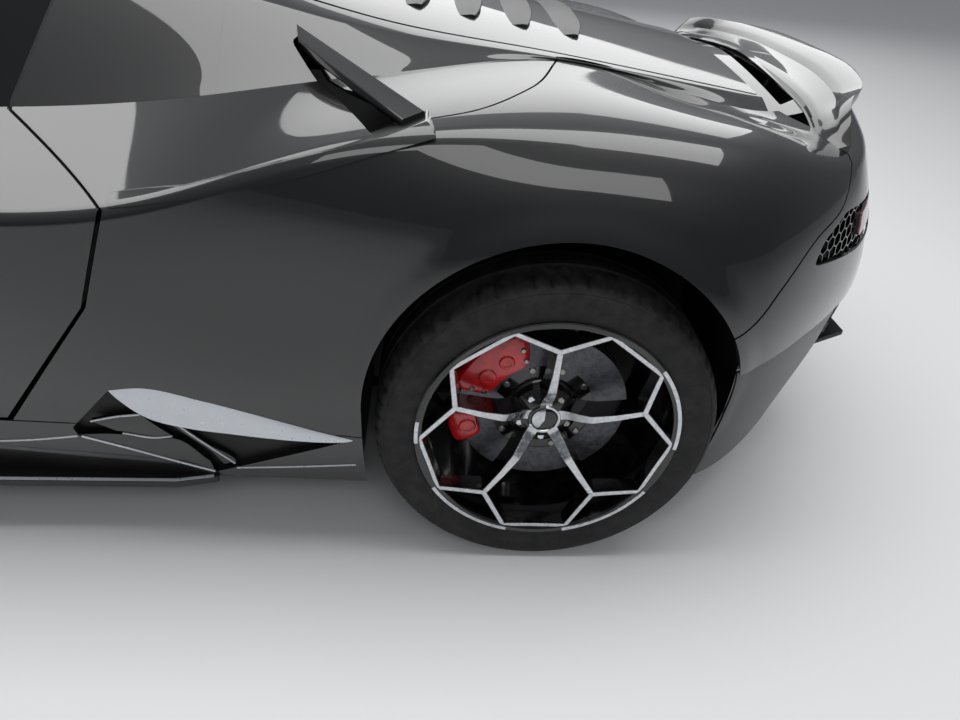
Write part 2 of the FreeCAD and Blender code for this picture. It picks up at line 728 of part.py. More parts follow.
# Bonnet: a crowned lid that reaches the front bumper's upper edge
BONNET_HALF = 760
#         anchor          dx   centre z above belt   fall to the edge
BONNET = [
    (nose_x,        -120, -292, 35),
    (nose_x,        -217, -256, 35),
    (nose_x,        -429, -182, 35),
    (nose_x,        -645, -109, 35),
    (front_x,          0,  -24, 41),
    (bonnet_rear_x - 20, 0,  9, 60),
]
BONNET_STEPS = (1.0, 0.74, 0.4, 0)


class Across:
    """A cross section of a bonnet or deck that falls away from its crown."""

    def __init__(self, x, half, centre_z, fall):
        self.x = x
        self.half = [(half * step, centre_z - fall * step ** 1.5) for step in BONNET_STEPS]


bonnet_sections = [
    Across(anchor + dx, BONNET_HALF, size("belt_height") + z, fall) for anchor, dx, z, fall in BONNET
]
belt_front = ["nose", "nose_side", "lamp", "front_arch", "front_axle"]
bonnet_corner = (bonnet_rear_x, belt_at(bonnet_rear_x)[0])


def bonnet_plan(inset):
    half = [(p.x, p.y) for p in (stations[n].point(*stations[n].hoops[BELT]) for n in belt_front)]
    whole = half + [bonnet_corner, (bonnet_corner[0], -bonnet_corner[1])]
    whole += [(x, -y) for x, y in reversed(half[1:])]
    return inside(whole, inset)


bonnet_opening = plan_prism("bonnet_opening", bonnet_plan(1), 0, TALL)
bonnet_skin = common(
    "bonnet_skin", upper_loft("bonnet_blank", bonnet_sections, 0, size("lid_thickness")),
    plan_prism("bonnet_outline", bonnet_plan(gap), 0, TALL),
)
BONNET_HINGE = (bonnet_rear_x + gap + 11, size("belt_height") - 60)
LID_HINGE = (rear_x + 675, size("belt_height") + 190)
EAR_HALF = 8
WELL_HALF = 490


def ear_pair(name, x, z, y, top):
    """Hinge ears under a lid, bored for their pins."""
    ears = []
    for side in (1, -1):
        at = side * y
        plate = box(f"{name}_plate{side}", x - EAR_HALF, x + EAR_HALF, at - 6, at + 6, z - EAR_HALF, top)
        bore = cross_cylinder(f"{name}_bore{side}", x, z, HINGE_PIN + running_gap, at - 10, at + 10)
        ears.append(cut(f"{name}_ear{side}", plate, bore))
    return ears


def hinge_posts(name, x, z, y, foot, depth=EAR_HALF):
    """The posts that carry the pins: one outboard of each ear, from its foot up to the pin."""
    posts = []
    for side in (1, -1):
        inner, outer = side * (y + 6 + running_gap), side * (y + 6 + running_gap + LEAF)
        posts.append(box(f"{name}_post{side}", x - 6, x + 6, min(inner, outer), max(inner, outer), foot, z + 6))
        posts.append(cross_cylinder(f"{name}_pin{side}", x, z, HINGE_PIN, *sorted((side * (y - 6), outer))))
    return posts


bonnet_ear_y = WELL_HALF - LEAF - 6 - running_gap
node("bonnet", fuse("bonnet", bonnet_skin, *ear_pair("bonnet", *BONNET_HINGE, bonnet_ear_y, BONNET_HINGE[1] + 27)))
hinge_pocket = box("hinge_pocket", door_front_x, hinge_x + 22, half_width - 182, hinge_y + HINGE_PIN + 6,
                   hinge_z - 12, hinge_z + HINGE_HEIGHT + 12)
both("front_wings", without(front_wing, bonnet_opening, hinge_pocket))
node("front_bumper", without(front_bumper_last, bonnet_opening))

# Roof: the shell over the cabin, with the windscreen's bed and the side windows cut out
shell = upper_loft("upper_shell", uppers, fixed_gap, size("roof_thickness"))
screen_foot_x = uppers[0].x - 30
screen_mid_x = uppers[1].x
screen_half = [(x, rail_y(x) - PILLAR) for x in (screen_foot_x, screen_mid_x, screen_top_x)]
bed_depth = GLASS_DEPTH + size("glass_thickness") + running_gap
screen_bed = common(
    "screen_bed", upper_loft("screen_bed_blank", uppers[:4], -20, 20 + bed_depth, 1),
    plan_prism("screen_bed_outline", across(screen_half)),
)
screen_hole = plan_prism("screen_hole", across(screen_half, LEDGE))
node("windscreen", common(
    "windscreen", upper_loft("windscreen_blank", uppers[:4], GLASS_DEPTH, size("glass_thickness"), 1),
    plan_prism("windscreen_outline", across(screen_half, fixed_gap)),
))

window_z = size("belt_height")
WINDOW = [  # from the mirror's corner along the rail and back along the belt
    (door_front_x + gap, window_z - 80), (door_front_x + gap, window_z + 6),
    (screen_mid_x, window_z + 78 * rise), (cabin_x + 275, window_z + 222 * rise),
    (cabin_x + 25, window_z + 254 * rise), (cabin_x - 335, window_z + 242 * rise),
    (rear_x + 915, window_z + 190 * rise), (glass_foot_x, window_z + 30), (glass_foot_x + gap, window_z - 80),
]
window_cut = side_prism("window_cut", WINDOW, 300)
LID_HALF = [(lid_rear_x, 440), (rear_x, 452), (lid_front_x, 468)]
lid_opening = plan_prism("lid_opening", across(LID_HALF))
tray_opening = plan_prism("tray_opening", [
    (roof_rear_x, 468), (lid_front_x - 1, 468), (lid_front_x - 1, -468), (roof_rear_x, -468),
])
blade_seat = blade("blade_seat", fixed_gap)
shell_open = without(
    shell, screen_bed, screen_hole, window_cut, mirrored("window_cut_right", window_cut), lid_opening, tray_opening,
    slot_space, mirrored("upper_slot_right", slot_space), blade_seat, mirrored("blade_seat_right", blade_seat),
)
# the roof ends where the rear wing's upper bands start, on a line that rises inwards
roof_zone = plan_prism("roof_zone", [
    (rear_x + 640, -1000), (rear_x + 640, 1000), (nose_x, 1000), (nose_x, -1000),
])
deck_zone = plan_prism("deck_zone", [
    (lid_rear_x, -1000), (lid_rear_x, 1000), (rear_x + 640 - fixed_gap, 1000), (rear_x + 640 - fixed_gap, -1000),
])
node("roof", common("roof", shell_open, roof_zone))
deck_seat = layer_loft("deck_seat", run_of("door_rear", "corner"), FLANK, BELT, -running_gap, skin + 2 * running_gap)
node("deck_sides", without(common("deck_trim", shell_open, deck_zone), deck_seat, mirrored("deck_seat_right", deck_seat)))

# Door, with a slot along its top for the glass
GLASS_DROP = 74


class Lowered:
    """An upper section whose belt point is moved down along the side window."""

    def __init__(self, section, drop):
        (y0, z0), (y1, z1) = section.half[0], section.half[1]
        span = math.hypot(y0 - y1, z0 - z1)
        self.x = section.x
        self.half = [(y0 + (y0 - y1) * drop / span, z0 + (z0 - z1) * drop / span)] + section.half[1:]


lowered = [Lowered(s, GLASS_DROP) for s in uppers[:7]]
glass_shell = upper_loft("side_glass_shell", lowered, GLASS_DEPTH, size("glass_thickness"))
GLASS_BOTTOM = window_z - 50
glass_outline = [(x, max(z, GLASS_BOTTOM)) for x, z in inside(WINDOW, gap + 2)]
glass_zone = side_prism("door_glass_outline", glass_outline, 300)
slot_shell = upper_loft("glass_slot_shell", lowered, GLASS_DEPTH - running_gap,
                        size("glass_thickness") + 2 * running_gap)
slot_zone = side_prism("glass_slot_outline", inside(WINDOW, gap - 10), 300)
slot = common("glass_slot", slot_shell, slot_zone)
pair("door_glass", common("door_glass", glass_shell, glass_zone))
gooseneck = plan_prism("door_gooseneck", [
    (hinge_x + 7, hinge_y + 7), (hinge_x - 7, hinge_y + 7), (hinge_x - 32, hinge_y - 37),
    (hinge_x - HINGE_AHEAD - 20, hinge_y - 37), (hinge_x - HINGE_AHEAD - 20, hinge_y - 53),
    (hinge_x - 24, hinge_y - 53), (hinge_x + 7, hinge_y - 7),
], hinge_z + LEAF + running_gap, hinge_z + HINGE_HEIGHT - LEAF - running_gap)
gooseneck_bore = doc.addObject("Part::Cylinder", "gooseneck_bore")
gooseneck_bore.Radius, gooseneck_bore.Height = HINGE_PIN + running_gap, 2 * HINGE_HEIGHT
gooseneck_bore.Placement = Placement(Vector(hinge_x, hinge_y, hinge_z - 20), Rotation())
pair("door", without(fuse("door_hinged", door, gooseneck), slot, gooseneck_bore))

# Engine lid over the engine, and the deck's end with its spoiler
lid_skin = common(
    "lid_skin", upper_loft("lid_blank", uppers[4:], 0, size("lid_thickness")),
    plan_prism("lid_outline", across(LID_HALF, gap)),
)
LID_EAR_Y = 400
node("engine_lid", fuse("engine_lid", lid_skin, *ear_pair("lid", *LID_HINGE, LID_EAR_Y, LID_HINGE[1] + 26)))
belt_rear = ["tail_side", "tail"]
TAIL_DECK = [  # anchor, dx, centre z above belt, fall to the edge
    (lid_rear_x, -gap, 72, 72), (tail_x, 100, 70, 50),
]
deck_sections = [Across(anchor + dx, 640, size("belt_height") + z, fall) for anchor, dx, z, fall in TAIL_DECK]


def tail_plan(inset):
    half = [(lid_rear_x, belt_at(lid_rear_x)[0])]
    half += [(p.x, p.y) for p in (stations[n].point(*stations[n].hoops[BELT]) for n in belt_rear)]
    return inside(half + [(x, -y) for x, y in reversed(half[:-1])], inset)


tail_opening = plan_prism("tail_opening", tail_plan(1), 0, TALL)
tail_deck = common("tail_deck", upper_loft("tail_deck_blank", deck_sections, 0, skin),
                   plan_prism("tail_deck_outline", tail_plan(2), 0, TALL))
#          y    front x  front z  trailing x  trailing z  lip
SPOILER = [
    (0,   lid_rear_x - 112, 914, tail_x + 150, 950, 14),
    (250, lid_rear_x - 112, 908, tail_x + 165, 948, 14),
    (430, lid_rear_x - 106, 892, tail_x + 225, 940, 16),
    (540, lid_rear_x - 88,  872, tail_x + 300, 930, 40),
    (578, lid_rear_x - 80,  862, tail_x + 316, 918, 52),
    (628, lid_rear_x - 78,  848, tail_x + 322, 866, 30),
]
spoiler_half = loft("spoiler_half", [
    [Vector(x0, y, z0), Vector(x1, y, z1), Vector(x1, y, z1 - lip), Vector(x0 + (x1 - x0) * 0.35, y, z0 - 6)]
    for y, x0, z0, x1, z1, lip in SPOILER
])
deck_slot = plan_prism("deck_slot", across([(lid_rear_x - 60, 415), (lid_rear_x - 108, 375)]), 800)
SPOILER_CLEAR = 2
spoiler_seat = layer_loft("spoiler_seat", run_of("rear_axle", "tail_side"), SHOULDER, BELT, -SPOILER_CLEAR, 160)
spoiler_left = cut("spoiler_left", spoiler_half, spoiler_seat)
spoiler = fuse("spoiler", cut("tail_deck_slotted", tail_deck, deck_slot), spoiler_left,
               mirrored("spoiler_right", spoiler_left))
node("rear_bumper", without(rear_bumper_last, tail_opening))
quarter_bladed = fuse("quarter_bladed", without(quarter_cut, slot_space, tail_opening), strip, blade("blade", 0))
both("quarter_panels", cut("quarter_pocketed", quarter_bladed, pocket))
node("spoiler", spoiler)

# Tub: floor, sill boxes and the walls before and behind the cabin
tub_floor_z = size("sill_height") - 10
rear_wall_x = rear_x + 700
front_wall_x = front_x - 412
wall = size("tub_wall")
cabin_half = size("cabin_half_width")
tub_half = cabin_half + wall
SILL_BOX_HALF = half_width - 150
POST_THICKNESS = 30
post_half = SILL_BOX_HALF - 8
floor_top = tub_floor_z + 30
tub_top = size("belt_height") - 100
tub_parts = [
    box("tub_floor", rear_wall_x - wall, front_wall_x + POST_THICKNESS, -tub_half, tub_half, tub_floor_z, floor_top),
    box("tub_rear_wall", rear_wall_x - wall, rear_wall_x, -post_half, post_half, floor_top, tub_top),
    box("tub_front_wall", front_wall_x, front_wall_x + POST_THICKNESS, -post_half, post_half, floor_top, tub_top - 40),
    box("tunnel", rear_wall_x, front_wall_x, -130, 130, floor_top, floor_top + 160),
]
tub_x0, tub_x1 = rear_wall_x - wall, front_wall_x + POST_THICKNESS
sill_back = common(
    "sill_back", layer_loft("sill_layer", run_of("front_axle", "rear_axle"), SILL, LOW, skin + running_gap, 70),
    box("sill_back_zone", tub_x0, tub_x1, 0, half_width, floor_top, sill_top - 2),
)
leaf_outline = [
    (front_wall_x + 8, post_half - 20), (tub_x1, post_half - 20), (hinge_x + 7, hinge_y - 10),
    (hinge_x + 7, hinge_y + 7), (hinge_x - 7, hinge_y + 7), (hinge_x - 9, hinge_y - 10),
]
hinge_pin = doc.addObject("Part::Cylinder", "hinge_pin")
hinge_pin.Radius, hinge_pin.Height = HINGE_PIN, HINGE_HEIGHT
hinge_pin.Placement = Placement(Vector(hinge_x, hinge_y, hinge_z), Rotation())
left_side = fuse(
    "tub_left_side", box("tub_sill", tub_x0, tub_x1, cabin_half, SILL_BOX_HALF, floor_top, sill_top - 2), sill_back,
    plan_prism("hinge_leaf_low", leaf_outline, hinge_z, hinge_z + LEAF),
    plan_prism("hinge_leaf_high", leaf_outline, hinge_z + HINGE_HEIGHT - LEAF, hinge_z + HINGE_HEIGHT), hinge_pin,
)
lid_posts = hinge_posts("lid", *LID_HINGE, LID_EAR_Y, tub_top)
tub = fuse("tub", *tub_parts, left_side, mirrored("tub_right_side", left_side), *lid_posts)
node("tub", tub)
# a thin blade runs along the foot of each sill and ends in a point
SILL_BLADE = 12
sill_blade = plan_prism("sill_blade", [
    (front_x - 420, half_width - 130), (front_x - 470, half_width - 62), (rear_x + 1500, half_width - 62),
    (rear_x + 760, half_width - 72), (rear_x + 675, half_width - 92), (rear_x + 700, half_width - 130),
], size("sill_height") - SILL_BLADE, size("sill_height") + 5)
both("sills", cut("sill_pocketed", fuse("sill_bladed", sill, sill_blade), pocket))

# Flat underfloor, narrower between the wheels
FLOOR_HALF_WIDE, FLOOR_HALF_NARROW = 800, 505
UNDERFLOOR = [
    (nose_x - 150, 250), (nose_x - 330, 560), (front_x + 400, 600), (front_x + 400, FLOOR_HALF_NARROW),
    (front_x - 400, FLOOR_HALF_NARROW), (front_x - 400, FLOOR_HALF_WIDE), (rear_x + 430, FLOOR_HALF_WIDE),
    (rear_x + 430, FLOOR_HALF_NARROW), (rear_x - 430, FLOOR_HALF_NARROW),
]
underfloor = plan_prism("underfloor", across(UNDERFLOOR), tub_floor_z - size("floor_thickness"))
underfloor.setExpression("LengthFwd", "Sizes.floor_thickness - Sizes.running_gap")
node("underfloor", underfloor)

# Diffuser: a rising tray with upright fins
DIFFUSER_FRONT_Z = tub_floor_z - size("floor_thickness")
DIFFUSER_REAR_Z = 330
diffuser_x0, diffuser_x1 = rear_x - 430 - running_gap, tail_x + 70
TRAY_HALF = 470
FIN_THICKNESS = 9
tray = prism("diffuser_tray", [
    Vector(diffuser_x0, -TRAY_HALF, DIFFUSER_FRONT_Z), Vector(diffuser_x1, -TRAY_HALF, DIFFUSER_REAR_Z),
    Vector(diffuser_x1, -TRAY_HALF, DIFFUSER_REAR_Z + 12), Vector(diffuser_x0, -TRAY_HALF, DIFFUSER_FRONT_Z + 12),
], Vector(0, 1, 0), 2 * TRAY_HALF)
diffuser_parts = [tray]
for i, y in enumerate((-330, -190, -60, 60, 190, 330)):
    diffuser_parts.append(prism(f"diffuser_fin{i}", [
        Vector(diffuser_x0 - 60, y - FIN_THICKNESS / 2, DIFFUSER_FRONT_Z + 2),
        Vector(diffuser_x1 + 10, y - FIN_THICKNESS / 2, DIFFUSER_FRONT_Z + 60),
        Vector(diffuser_x1, y - FIN_THICKNESS / 2, DIFFUSER_REAR_Z + 4),
        Vector(diffuser_x0 - 60, y - FIN_THICKNESS / 2, DIFFUSER_FRONT_Z + 30),
    ], Vector(0, 1, 0), FIN_THICKNESS))
# its cheeks close the bumper's lower corners
CHEEK_DEPTH = 12
cheek_blank = layer_loft("cheek_layer", rear_bumper_run, SILL, FLANK, CHEEK_DEPTH, skin - CHEEK_DEPTH - 2)
cheek = without(
    common("cheek_trim", cheek_blank, side_prism("cheek_outline", [
        (x, z - fixed_gap) for x, z in BUMPER_FOOT + [(tail_x - 100, flank - 14)]
    ] + [(tail_x - 100, 150), (rear_x, 150)])),
    rear_arch, rear_prism("cheek_limit", [
        (0, 0), (0, 900), (TRAY_HALF + running_gap, 900), (TRAY_HALF + running_gap, 0),
    ], tail_x - 50, rear_x - 200),
    rear_prism("cheek_window", [(0, 300), (0, 900), (606, 900), (566, 300)], tail_x - 50, tail_lamp_x),
)
both("diffuser_cheeks", cheek)
node("diffuser", fuse("diffuser", *diffuser_parts))

# Arch liners: half shells with an inner wall
LINER_WALL = 5
LINER_INNER_Y = 516


def liner(name, x, z, radius, run):
    """Half shell over a wheel with an inner wall, out to the back of the skin."""
    shell = cut(
        name + "_shell",
        arch_space(name + "_outside", x, z, radius + LINER_WALL, LINER_INNER_Y - LINER_WALL, half_width),
        arch_space(name + "_inside", x, z, radius, LINER_INNER_Y, half_width + 1),
    )
    below = box(name + "_below", x - 500, x + 500, 400, 1000, -500, tub_floor_z + 40)
    shaft_way = box(name + "_shaft_way", x - 210, x + 210, 400, LINER_INNER_Y + 1, 100, z + 140)
    skin_space = layer_loft(name + "_skin_space", run, SILL, BELT, -160, 160 + skin + running_gap)
    return without(shell, below, shaft_way, skin_space)


both("arch_liners",
     liner("front_liner", front_x, front_arch_z, front_arch_radius + 9, run_of("lamp", "door_front")),
     liner("rear_liner", rear_x, rear_arch_z, rear_arch_radius + 9, run_of("door_rear", "corner")))

# Luggage well under the bonnet, with the cowl behind it
WELL_WALL = 6
WELL_TOP = 600
ENGINE_HALF = 300
well_x0, well_x1 = tub_x1 + running_gap, nose_x - 480
well = cut(
    "luggage_well_tray", box("well_outside", well_x0, well_x1, -WELL_HALF, WELL_HALF, 180, WELL_TOP),
    box("well_inside", well_x0 + WELL_WALL, well_x1 - WELL_WALL, -WELL_HALF + WELL_WALL, WELL_HALF - WELL_WALL,
        180 + WELL_WALL, WELL_TOP + 50),
)
well_hinges = hinge_posts("bonnet", *BONNET_HINGE, bonnet_ear_y, WELL_TOP - 40)
node("luggage_well", fuse("luggage_well", well, *well_hinges))
cowl_top = size("belt_height") - 56
cowl_foot = tub_top - 40 + running_gap
node("cowl", prism("cowl", [Vector(x, -640, z) for x, z in [
    (front_wall_x + 2, cowl_foot), (tub_x1 - 2, cowl_foot), (tub_x1 + 42, cowl_top - 10),
    (bonnet_rear_x - 12, cowl_top - 10), (bonnet_rear_x - 12, cowl_top), (tub_x1 + 36, cowl_top),
    (tub_x1 - 8, cowl_foot + 12), (front_wall_x + 2, cowl_foot + 12),
]], Vector(0, 1, 0), 1280))

# Engine and gearbox as one block, and the window behind the seats
engine_x1 = rear_wall_x - wall - running_gap
engine = box("engine", engine_x1 - 560, engine_x1, -ENGINE_HALF, ENGINE_HALF, 200, 740)
gearbox = box("gearbox", rear_x - 190, engine_x1 - 560, -ENGINE_HALF, ENGINE_HALF, 200, 560)
node("engine_block", fuse("engine_block", engine, gearbox))
rear_glass_x = rear_wall_x - 10
REAR_GLASS = [(-430, tub_top + running_gap), (-430, 980), (-390, 1015), (390, 1015), (430, 980), (430, tub_top + running_gap)]
node("rear_glass", rear_prism("rear_glass", REAR_GLASS, rear_glass_x, rear_glass_x + size("glass_thickness")))

# Seats, dashboard and steering wheel
SEAT_Y, SEAT_HALF = 362, 220
seat_x = rear_wall_x + 60
SEAT_SIDE = [  # side outline (x, z) of a bucket seat
    (seat_x + 560, 300), (seat_x + 60, 250), (seat_x + 20, 900), (seat_x + 70, 950),
    (seat_x + 130, 900), (seat_x + 170, 420), (seat_x + 540, 390), (seat_x + 590, 350),
]
seat_body = prism("seat_body", [Vector(x, SEAT_Y - SEAT_HALF, z) for x, z in SEAT_SIDE], Vector(0, 1, 0),
                  2 * SEAT_HALF)
seat_hollow = prism("seat_hollow", [
    Vector(seat_x + 600, SEAT_Y - SEAT_HALF + 60, 360), Vector(seat_x + 200, SEAT_Y - SEAT_HALF + 60, 370),
    Vector(seat_x + 95, SEAT_Y - SEAT_HALF + 60, 860), Vector(seat_x + 600, SEAT_Y - SEAT_HALF + 60, 860),
], Vector(0, 1, 0), 2 * SEAT_HALF - 120)
seat_base = box("seat_base", seat_x + 120, seat_x + 520, SEAT_Y - 180, SEAT_Y + 180, floor_top, 285)
both("seats", fuse("seat", seat_body, seat_base))

DASH_SIDE = [
    (front_wall_x - running_gap, 480), (front_wall_x - 90, 470), (front_wall_x - 300, 620), (front_wall_x - 330, 700),
    (front_wall_x - 240, 760), (front_wall_x - running_gap, 705),
]
dashboard = prism("dashboard_bar", [Vector(x, -cabin_half + 4, z) for x, z in DASH_SIDE], Vector(0, 1, 0),
                  2 * cabin_half - 8)
console = prism("console", [Vector(x, -95, z) for x, z in [
    (front_wall_x - 200, floor_top + 160.3), (rear_wall_x + 60, floor_top + 160.3), (rear_wall_x + 60, 420),
    (front_wall_x - 460, 420), (front_wall_x - 280, 640), (front_wall_x - 200, 640),
]], Vector(0, 1, 0), 190)

STEERING_X, STEERING_Z, STEERING_RADIUS, STEERING_TILT = front_wall_x - 440, 700, 178, 24
ring = doc.addObject("Part::Torus", "steering_ring")
ring.Radius1, ring.Radius2 = STEERING_RADIUS, 16
hub = doc.addObject("Part::Cylinder", "steering_hub")
hub.Radius, hub.Height = 55, 40
hub.Placement = Placement(Vector(0, 0, -20), Rotation())
spoke = box("steering_spoke", -18, 18, -STEERING_RADIUS, STEERING_RADIUS, -8, 8)
column = doc.addObject("Part::Cylinder", "steering_column")
column.Radius, column.Height = 28, 190
wheel = fuse("steering_wheel", ring, hub, spoke, column)
wheel.Placement = Placement(
    Vector(STEERING_X, SEAT_Y, STEERING_Z), Rotation(Vector(0, 1, 0), 90 + STEERING_TILT)
)
node("steering_wheel", wheel)
column_way = doc.addObject("Part::Cylinder", "column_way")
column_way.Radius, column_way.Height = 28 + running_gap, 190 + running_gap
column_way.Placement = wheel.Placement
node("dashboard", cut("dashboard_bored", fuse("dashboard_solid", dashboard, console), column_way))

# Mirrors, each on a stalk from its door
MIRROR_X, MIRROR_Y, MIRROR_Z = door_front_x - 170, half_width - 62, size("belt_height") + 62
mirror_pod = loft("mirror_pod", [
    [Vector(MIRROR_X + dx, MIRROR_Y - w, MIRROR_Z - h), Vector(MIRROR_X + dx, MIRROR_Y + w, MIRROR_Z - h * 0.6),
     Vector(MIRROR_X + dx, MIRROR_Y + w * 0.9, MIRROR_Z + h * 0.8), Vector(MIRROR_X + dx, MIRROR_Y - w, MIRROR_Z + h)]
    for dx, w, h in ((-60, 92, 52), (20, 90, 50), (75, 60, 30))
])
MIRROR_BORE = 6
mirror_face = box("mirror_face", MIRROR_X - 61, MIRROR_X - 60 + MIRROR_BORE, MIRROR_Y - 84, MIRROR_Y + 82,
                  MIRROR_Z - 34, MIRROR_Z + 34)
stalk = prism("mirror_stalk", [
    Vector(MIRROR_X - 20, MIRROR_Y - 60, MIRROR_Z - 10), Vector(MIRROR_X - 20, MIRROR_Y - 30, MIRROR_Z - 20),
    Vector(MIRROR_X - 20, MIRROR_Y - 80, MIRROR_Z - 110), Vector(MIRROR_X - 20, MIRROR_Y - 140, MIRROR_Z - 110),
], Vector(1, 0, 0), 50)
pair("mirror", cut("mirror", cut("mirror_clear", fuse("mirror_joined", mirror_pod, stalk), door_blank), mirror_face))


# Wheels. Each is built round the origin with its axle along Y and its outer face at y = 0.
def revolved(name, points):
    """A PartDesign body turned round the Y axis from (radius, y) corners."""
    body = doc.addObject("PartDesign::Body", name)
    sketch = body.newObject("Sketcher::SketchObject", name + "_profile")
    place_sketch(sketch, body, "XY_Plane", 0)
    add_polygon(sketch, points)
    turned = body.newObject("PartDesign::Revolution", name + "_turned")
    turned.Profile = sketch
    turned.ReferenceAxis = (sketch, ["V_Axis"])
    turned.Angle = 360
    return body


def place_sketch(sketch, body, role, offset):
    plane = next(f for f in body.Origin.OriginFeatures if f.Role == role)
    sketch.AttachmentSupport = (plane, [""])
    sketch.MapMode = "FlatFace"
    sketch.AttachmentOffset = Placement(Vector(0, 0, offset), Rotation())


def add_polygon(sketch, points):
    for a, b in zip(points, points[1:] + points[:1]):
        sketch.addGeometry(Part.LineSegment(Vector(*a, 0), Vector(*b, 0)))


def tyre_profile(radius, width):
    """Half section of a low tyre: bead, sidewall, shoulder, tread and back."""
    bead = size("bead_radius") + running_gap
    wall_r = bead + (radius - bead) * 0.45
    return [
        (bead, -14), (wall_r, 0), (radius - 10, -8), (radius, -34),
        (radius, -width + 34), (radius - 10, -width + 8), (wall_r, -width), (bead, -width + 14),
    ]


SPOKES = 5
HUB_FACE = 62  # how deep the hub's face lies
SPOKE_DEPTH = 94
BARREL_INNER = 236
FORK_RADIUS = 201
BRANCH_ANGLE = math.radians(21.2)  # from the spoke's middle to a branch's end
BRANCH_HALF = math.radians(3.3)


def rim_body(name, width):
    seat = size("bead_radius")
    flange = seat + size("rim_flange")
    body = revolved(name, [
        (BARREL_INNER + 4, 0), (flange - 1, 0), (flange - 1, -9), (seat, -13), (seat, -60), (seat - 8, -80),
        (seat - 8, -width + 50), (seat, -width + 40), (seat, -width + 13), (flange - 1, -width + 9),
        (flange - 1, -width), (BARREL_INNER + 8, -width), (BARREL_INNER, -width + 30), (BARREL_INNER, -14),
    ])
    end = BARREL_INNER + 3
    outer, inner = BRANCH_ANGLE + BRANCH_HALF, BRANCH_ANGLE - BRANCH_HALF
    half = [(28, 30), (21, FORK_RADIUS - 14), (end * math.sin(outer), end * math.cos(outer)),
            (end * math.sin(inner), end * math.cos(inner))]
    sketch = body.newObject("Sketcher::SketchObject", name + "_spoke_outline")
    place_sketch(sketch, body, "XZ_Plane", 4)
    add_polygon(sketch, half + [(0, FORK_RADIUS + 14)] + [(-x, z) for x, z in reversed(half)])
    spoke = body.newObject("PartDesign::Pad", name + "_spoke")
    spoke.Profile = sketch
    spoke.Length = SPOKE_DEPTH - 4
    doc.recompute()
    pattern = body.newObject("PartDesign::PolarPattern", name + "_spokes")
    pattern.Originals = [spoke]
    pattern.Axis = (sketch, ["V_Axis"])
    axis = next(f for f in body.Origin.OriginFeatures if f.Role == "Y_Axis")
    pattern.Axis = (axis, [""])
    pattern.Angle = 360
    pattern.Occurrences = SPOKES
    body.Tip = pattern
    hub_sketch = body.newObject("Sketcher::SketchObject", name + "_hub_outline")
    place_sketch(hub_sketch, body, "XZ_Plane", 4)
    hub_sketch.addGeometry(Part.Circle(Vector(0, 0, 0), Vector(0, 0, 1), size("hub_radius")))
    hub_pad = body.newObject("PartDesign::Pad", name + "_hub")
    hub_pad.Profile = hub_sketch
    hub_pad.Length = SPOKE_DEPTH - 4
    dish = body.newObject("Sketcher::SketchObject", name + "_dish_profile")
    place_sketch(dish, body, "XY_Plane", 0)
    add_polygon(dish, [(0, 20), (0, -HUB_FACE), (46, -HUB_FACE), (96, -27), (201, -12),
                       (BARREL_INNER + 3.8, -4), (BARREL_INNER + 3.8, 20)])
    front_cut = body.newObject("PartDesign::Groove", name + "_dish")
    front_cut.Profile = dish
    front_cut.ReferenceAxis = (dish, ["V_Axis"])
    front_cut.Angle = 360
    back = body.newObject("Sketcher::SketchObject", name + "_back_profile")
    place_sketch(back, body, "XY_Plane", 0)
    add_polygon(back, [(size("hub_radius"), -SPOKE_DEPTH - 20), (size("hub_radius"), -SPOKE_DEPTH + 2),
                       (160, -66), (BARREL_INNER - 0.2, -40), (BARREL_INNER - 0.2, -SPOKE_DEPTH - 20)])
    back_cut = body.newObject("PartDesign::Groove", name + "_back")
    back_cut.Profile = back
    back_cut.ReferenceAxis = (back, ["V_Axis"])
    back_cut.Angle = 360
    return body


HAT_DEPTH = 6
HAT_WALL = 12


def disc_body(name, radius):
    """Brake disc with its hat: y counts back from the hat's seat on the rim."""
    seat = -SPOKE_DEPTH - running_gap
    face = seat - HAT_DEPTH
    back = face - size("disc_thickness")
    hat = size("hub_radius") + 6
    return revolved(name, [
        (0, seat), (hat, seat), (hat, face), (radius, face), (radius, back), (hat - HAT_WALL, back),
        (hat - HAT_WALL, seat - HAT_WALL), (0, seat - HAT_WALL),
    ])


def disc_sector(name, x, z, r_in, r_out, y0, y1, start, sweep):
    """A block bent round the axle, from one angle (seen from the left, 0 ahead) over a sweep."""
    parts = []
    for suffix, radius in (("outside", r_out), ("inside", r_in)):
        made = doc.addObject("Part::Cylinder", f"{name}_{suffix}")
        made.Radius, made.Height, made.Angle = radius, y1 - y0, sweep
        made.Placement = Placement(
            Vector(x, y1, z), Rotation(Vector(1, 0, 0), 90).multiply(Rotation(Vector(0, 0, 1), start))
        )
        parts.append(made)
    return cut(name, *parts)


AXLES = {
    #         x        track            tyre radius          tyre width           disc radius
    "front": (front_x, "front_track", "front_tyre_radius", "front_tyre_width", "front_disc_radius"),
    "rear": (rear_x, "rear_track", "rear_tyre_radius", "rear_tyre_width", "rear_disc_radius"),
}
for axle, (x, track, radius, width, disc_radius) in AXLES.items():
    outer_y = size(track) / 2 + size(width) / 2
    for label, body in (
        ("tyre", revolved(f"{axle}_tyre_body", tyre_profile(size(radius), size(width)))),
        ("rim", rim_body(f"{axle}_rim_body", size(width))),
        ("disc", disc_body(f"{axle}_disc_body", size(disc_radius))),
    ):
        body.Placement = Placement(Vector(x, outer_y, size(radius)), Rotation())
        pair(f"{label}_{axle}", body)

# Brake calipers, knuckles, wishbones and drive shafts
front_outer_y = size("front_track") / 2 + size("front_tyre_width") / 2
rear_outer_y = size("rear_track") / 2 + size("rear_tyre_width") / 2
kingpin_y = size("front_track") / 2 - size("kingpin_inset")


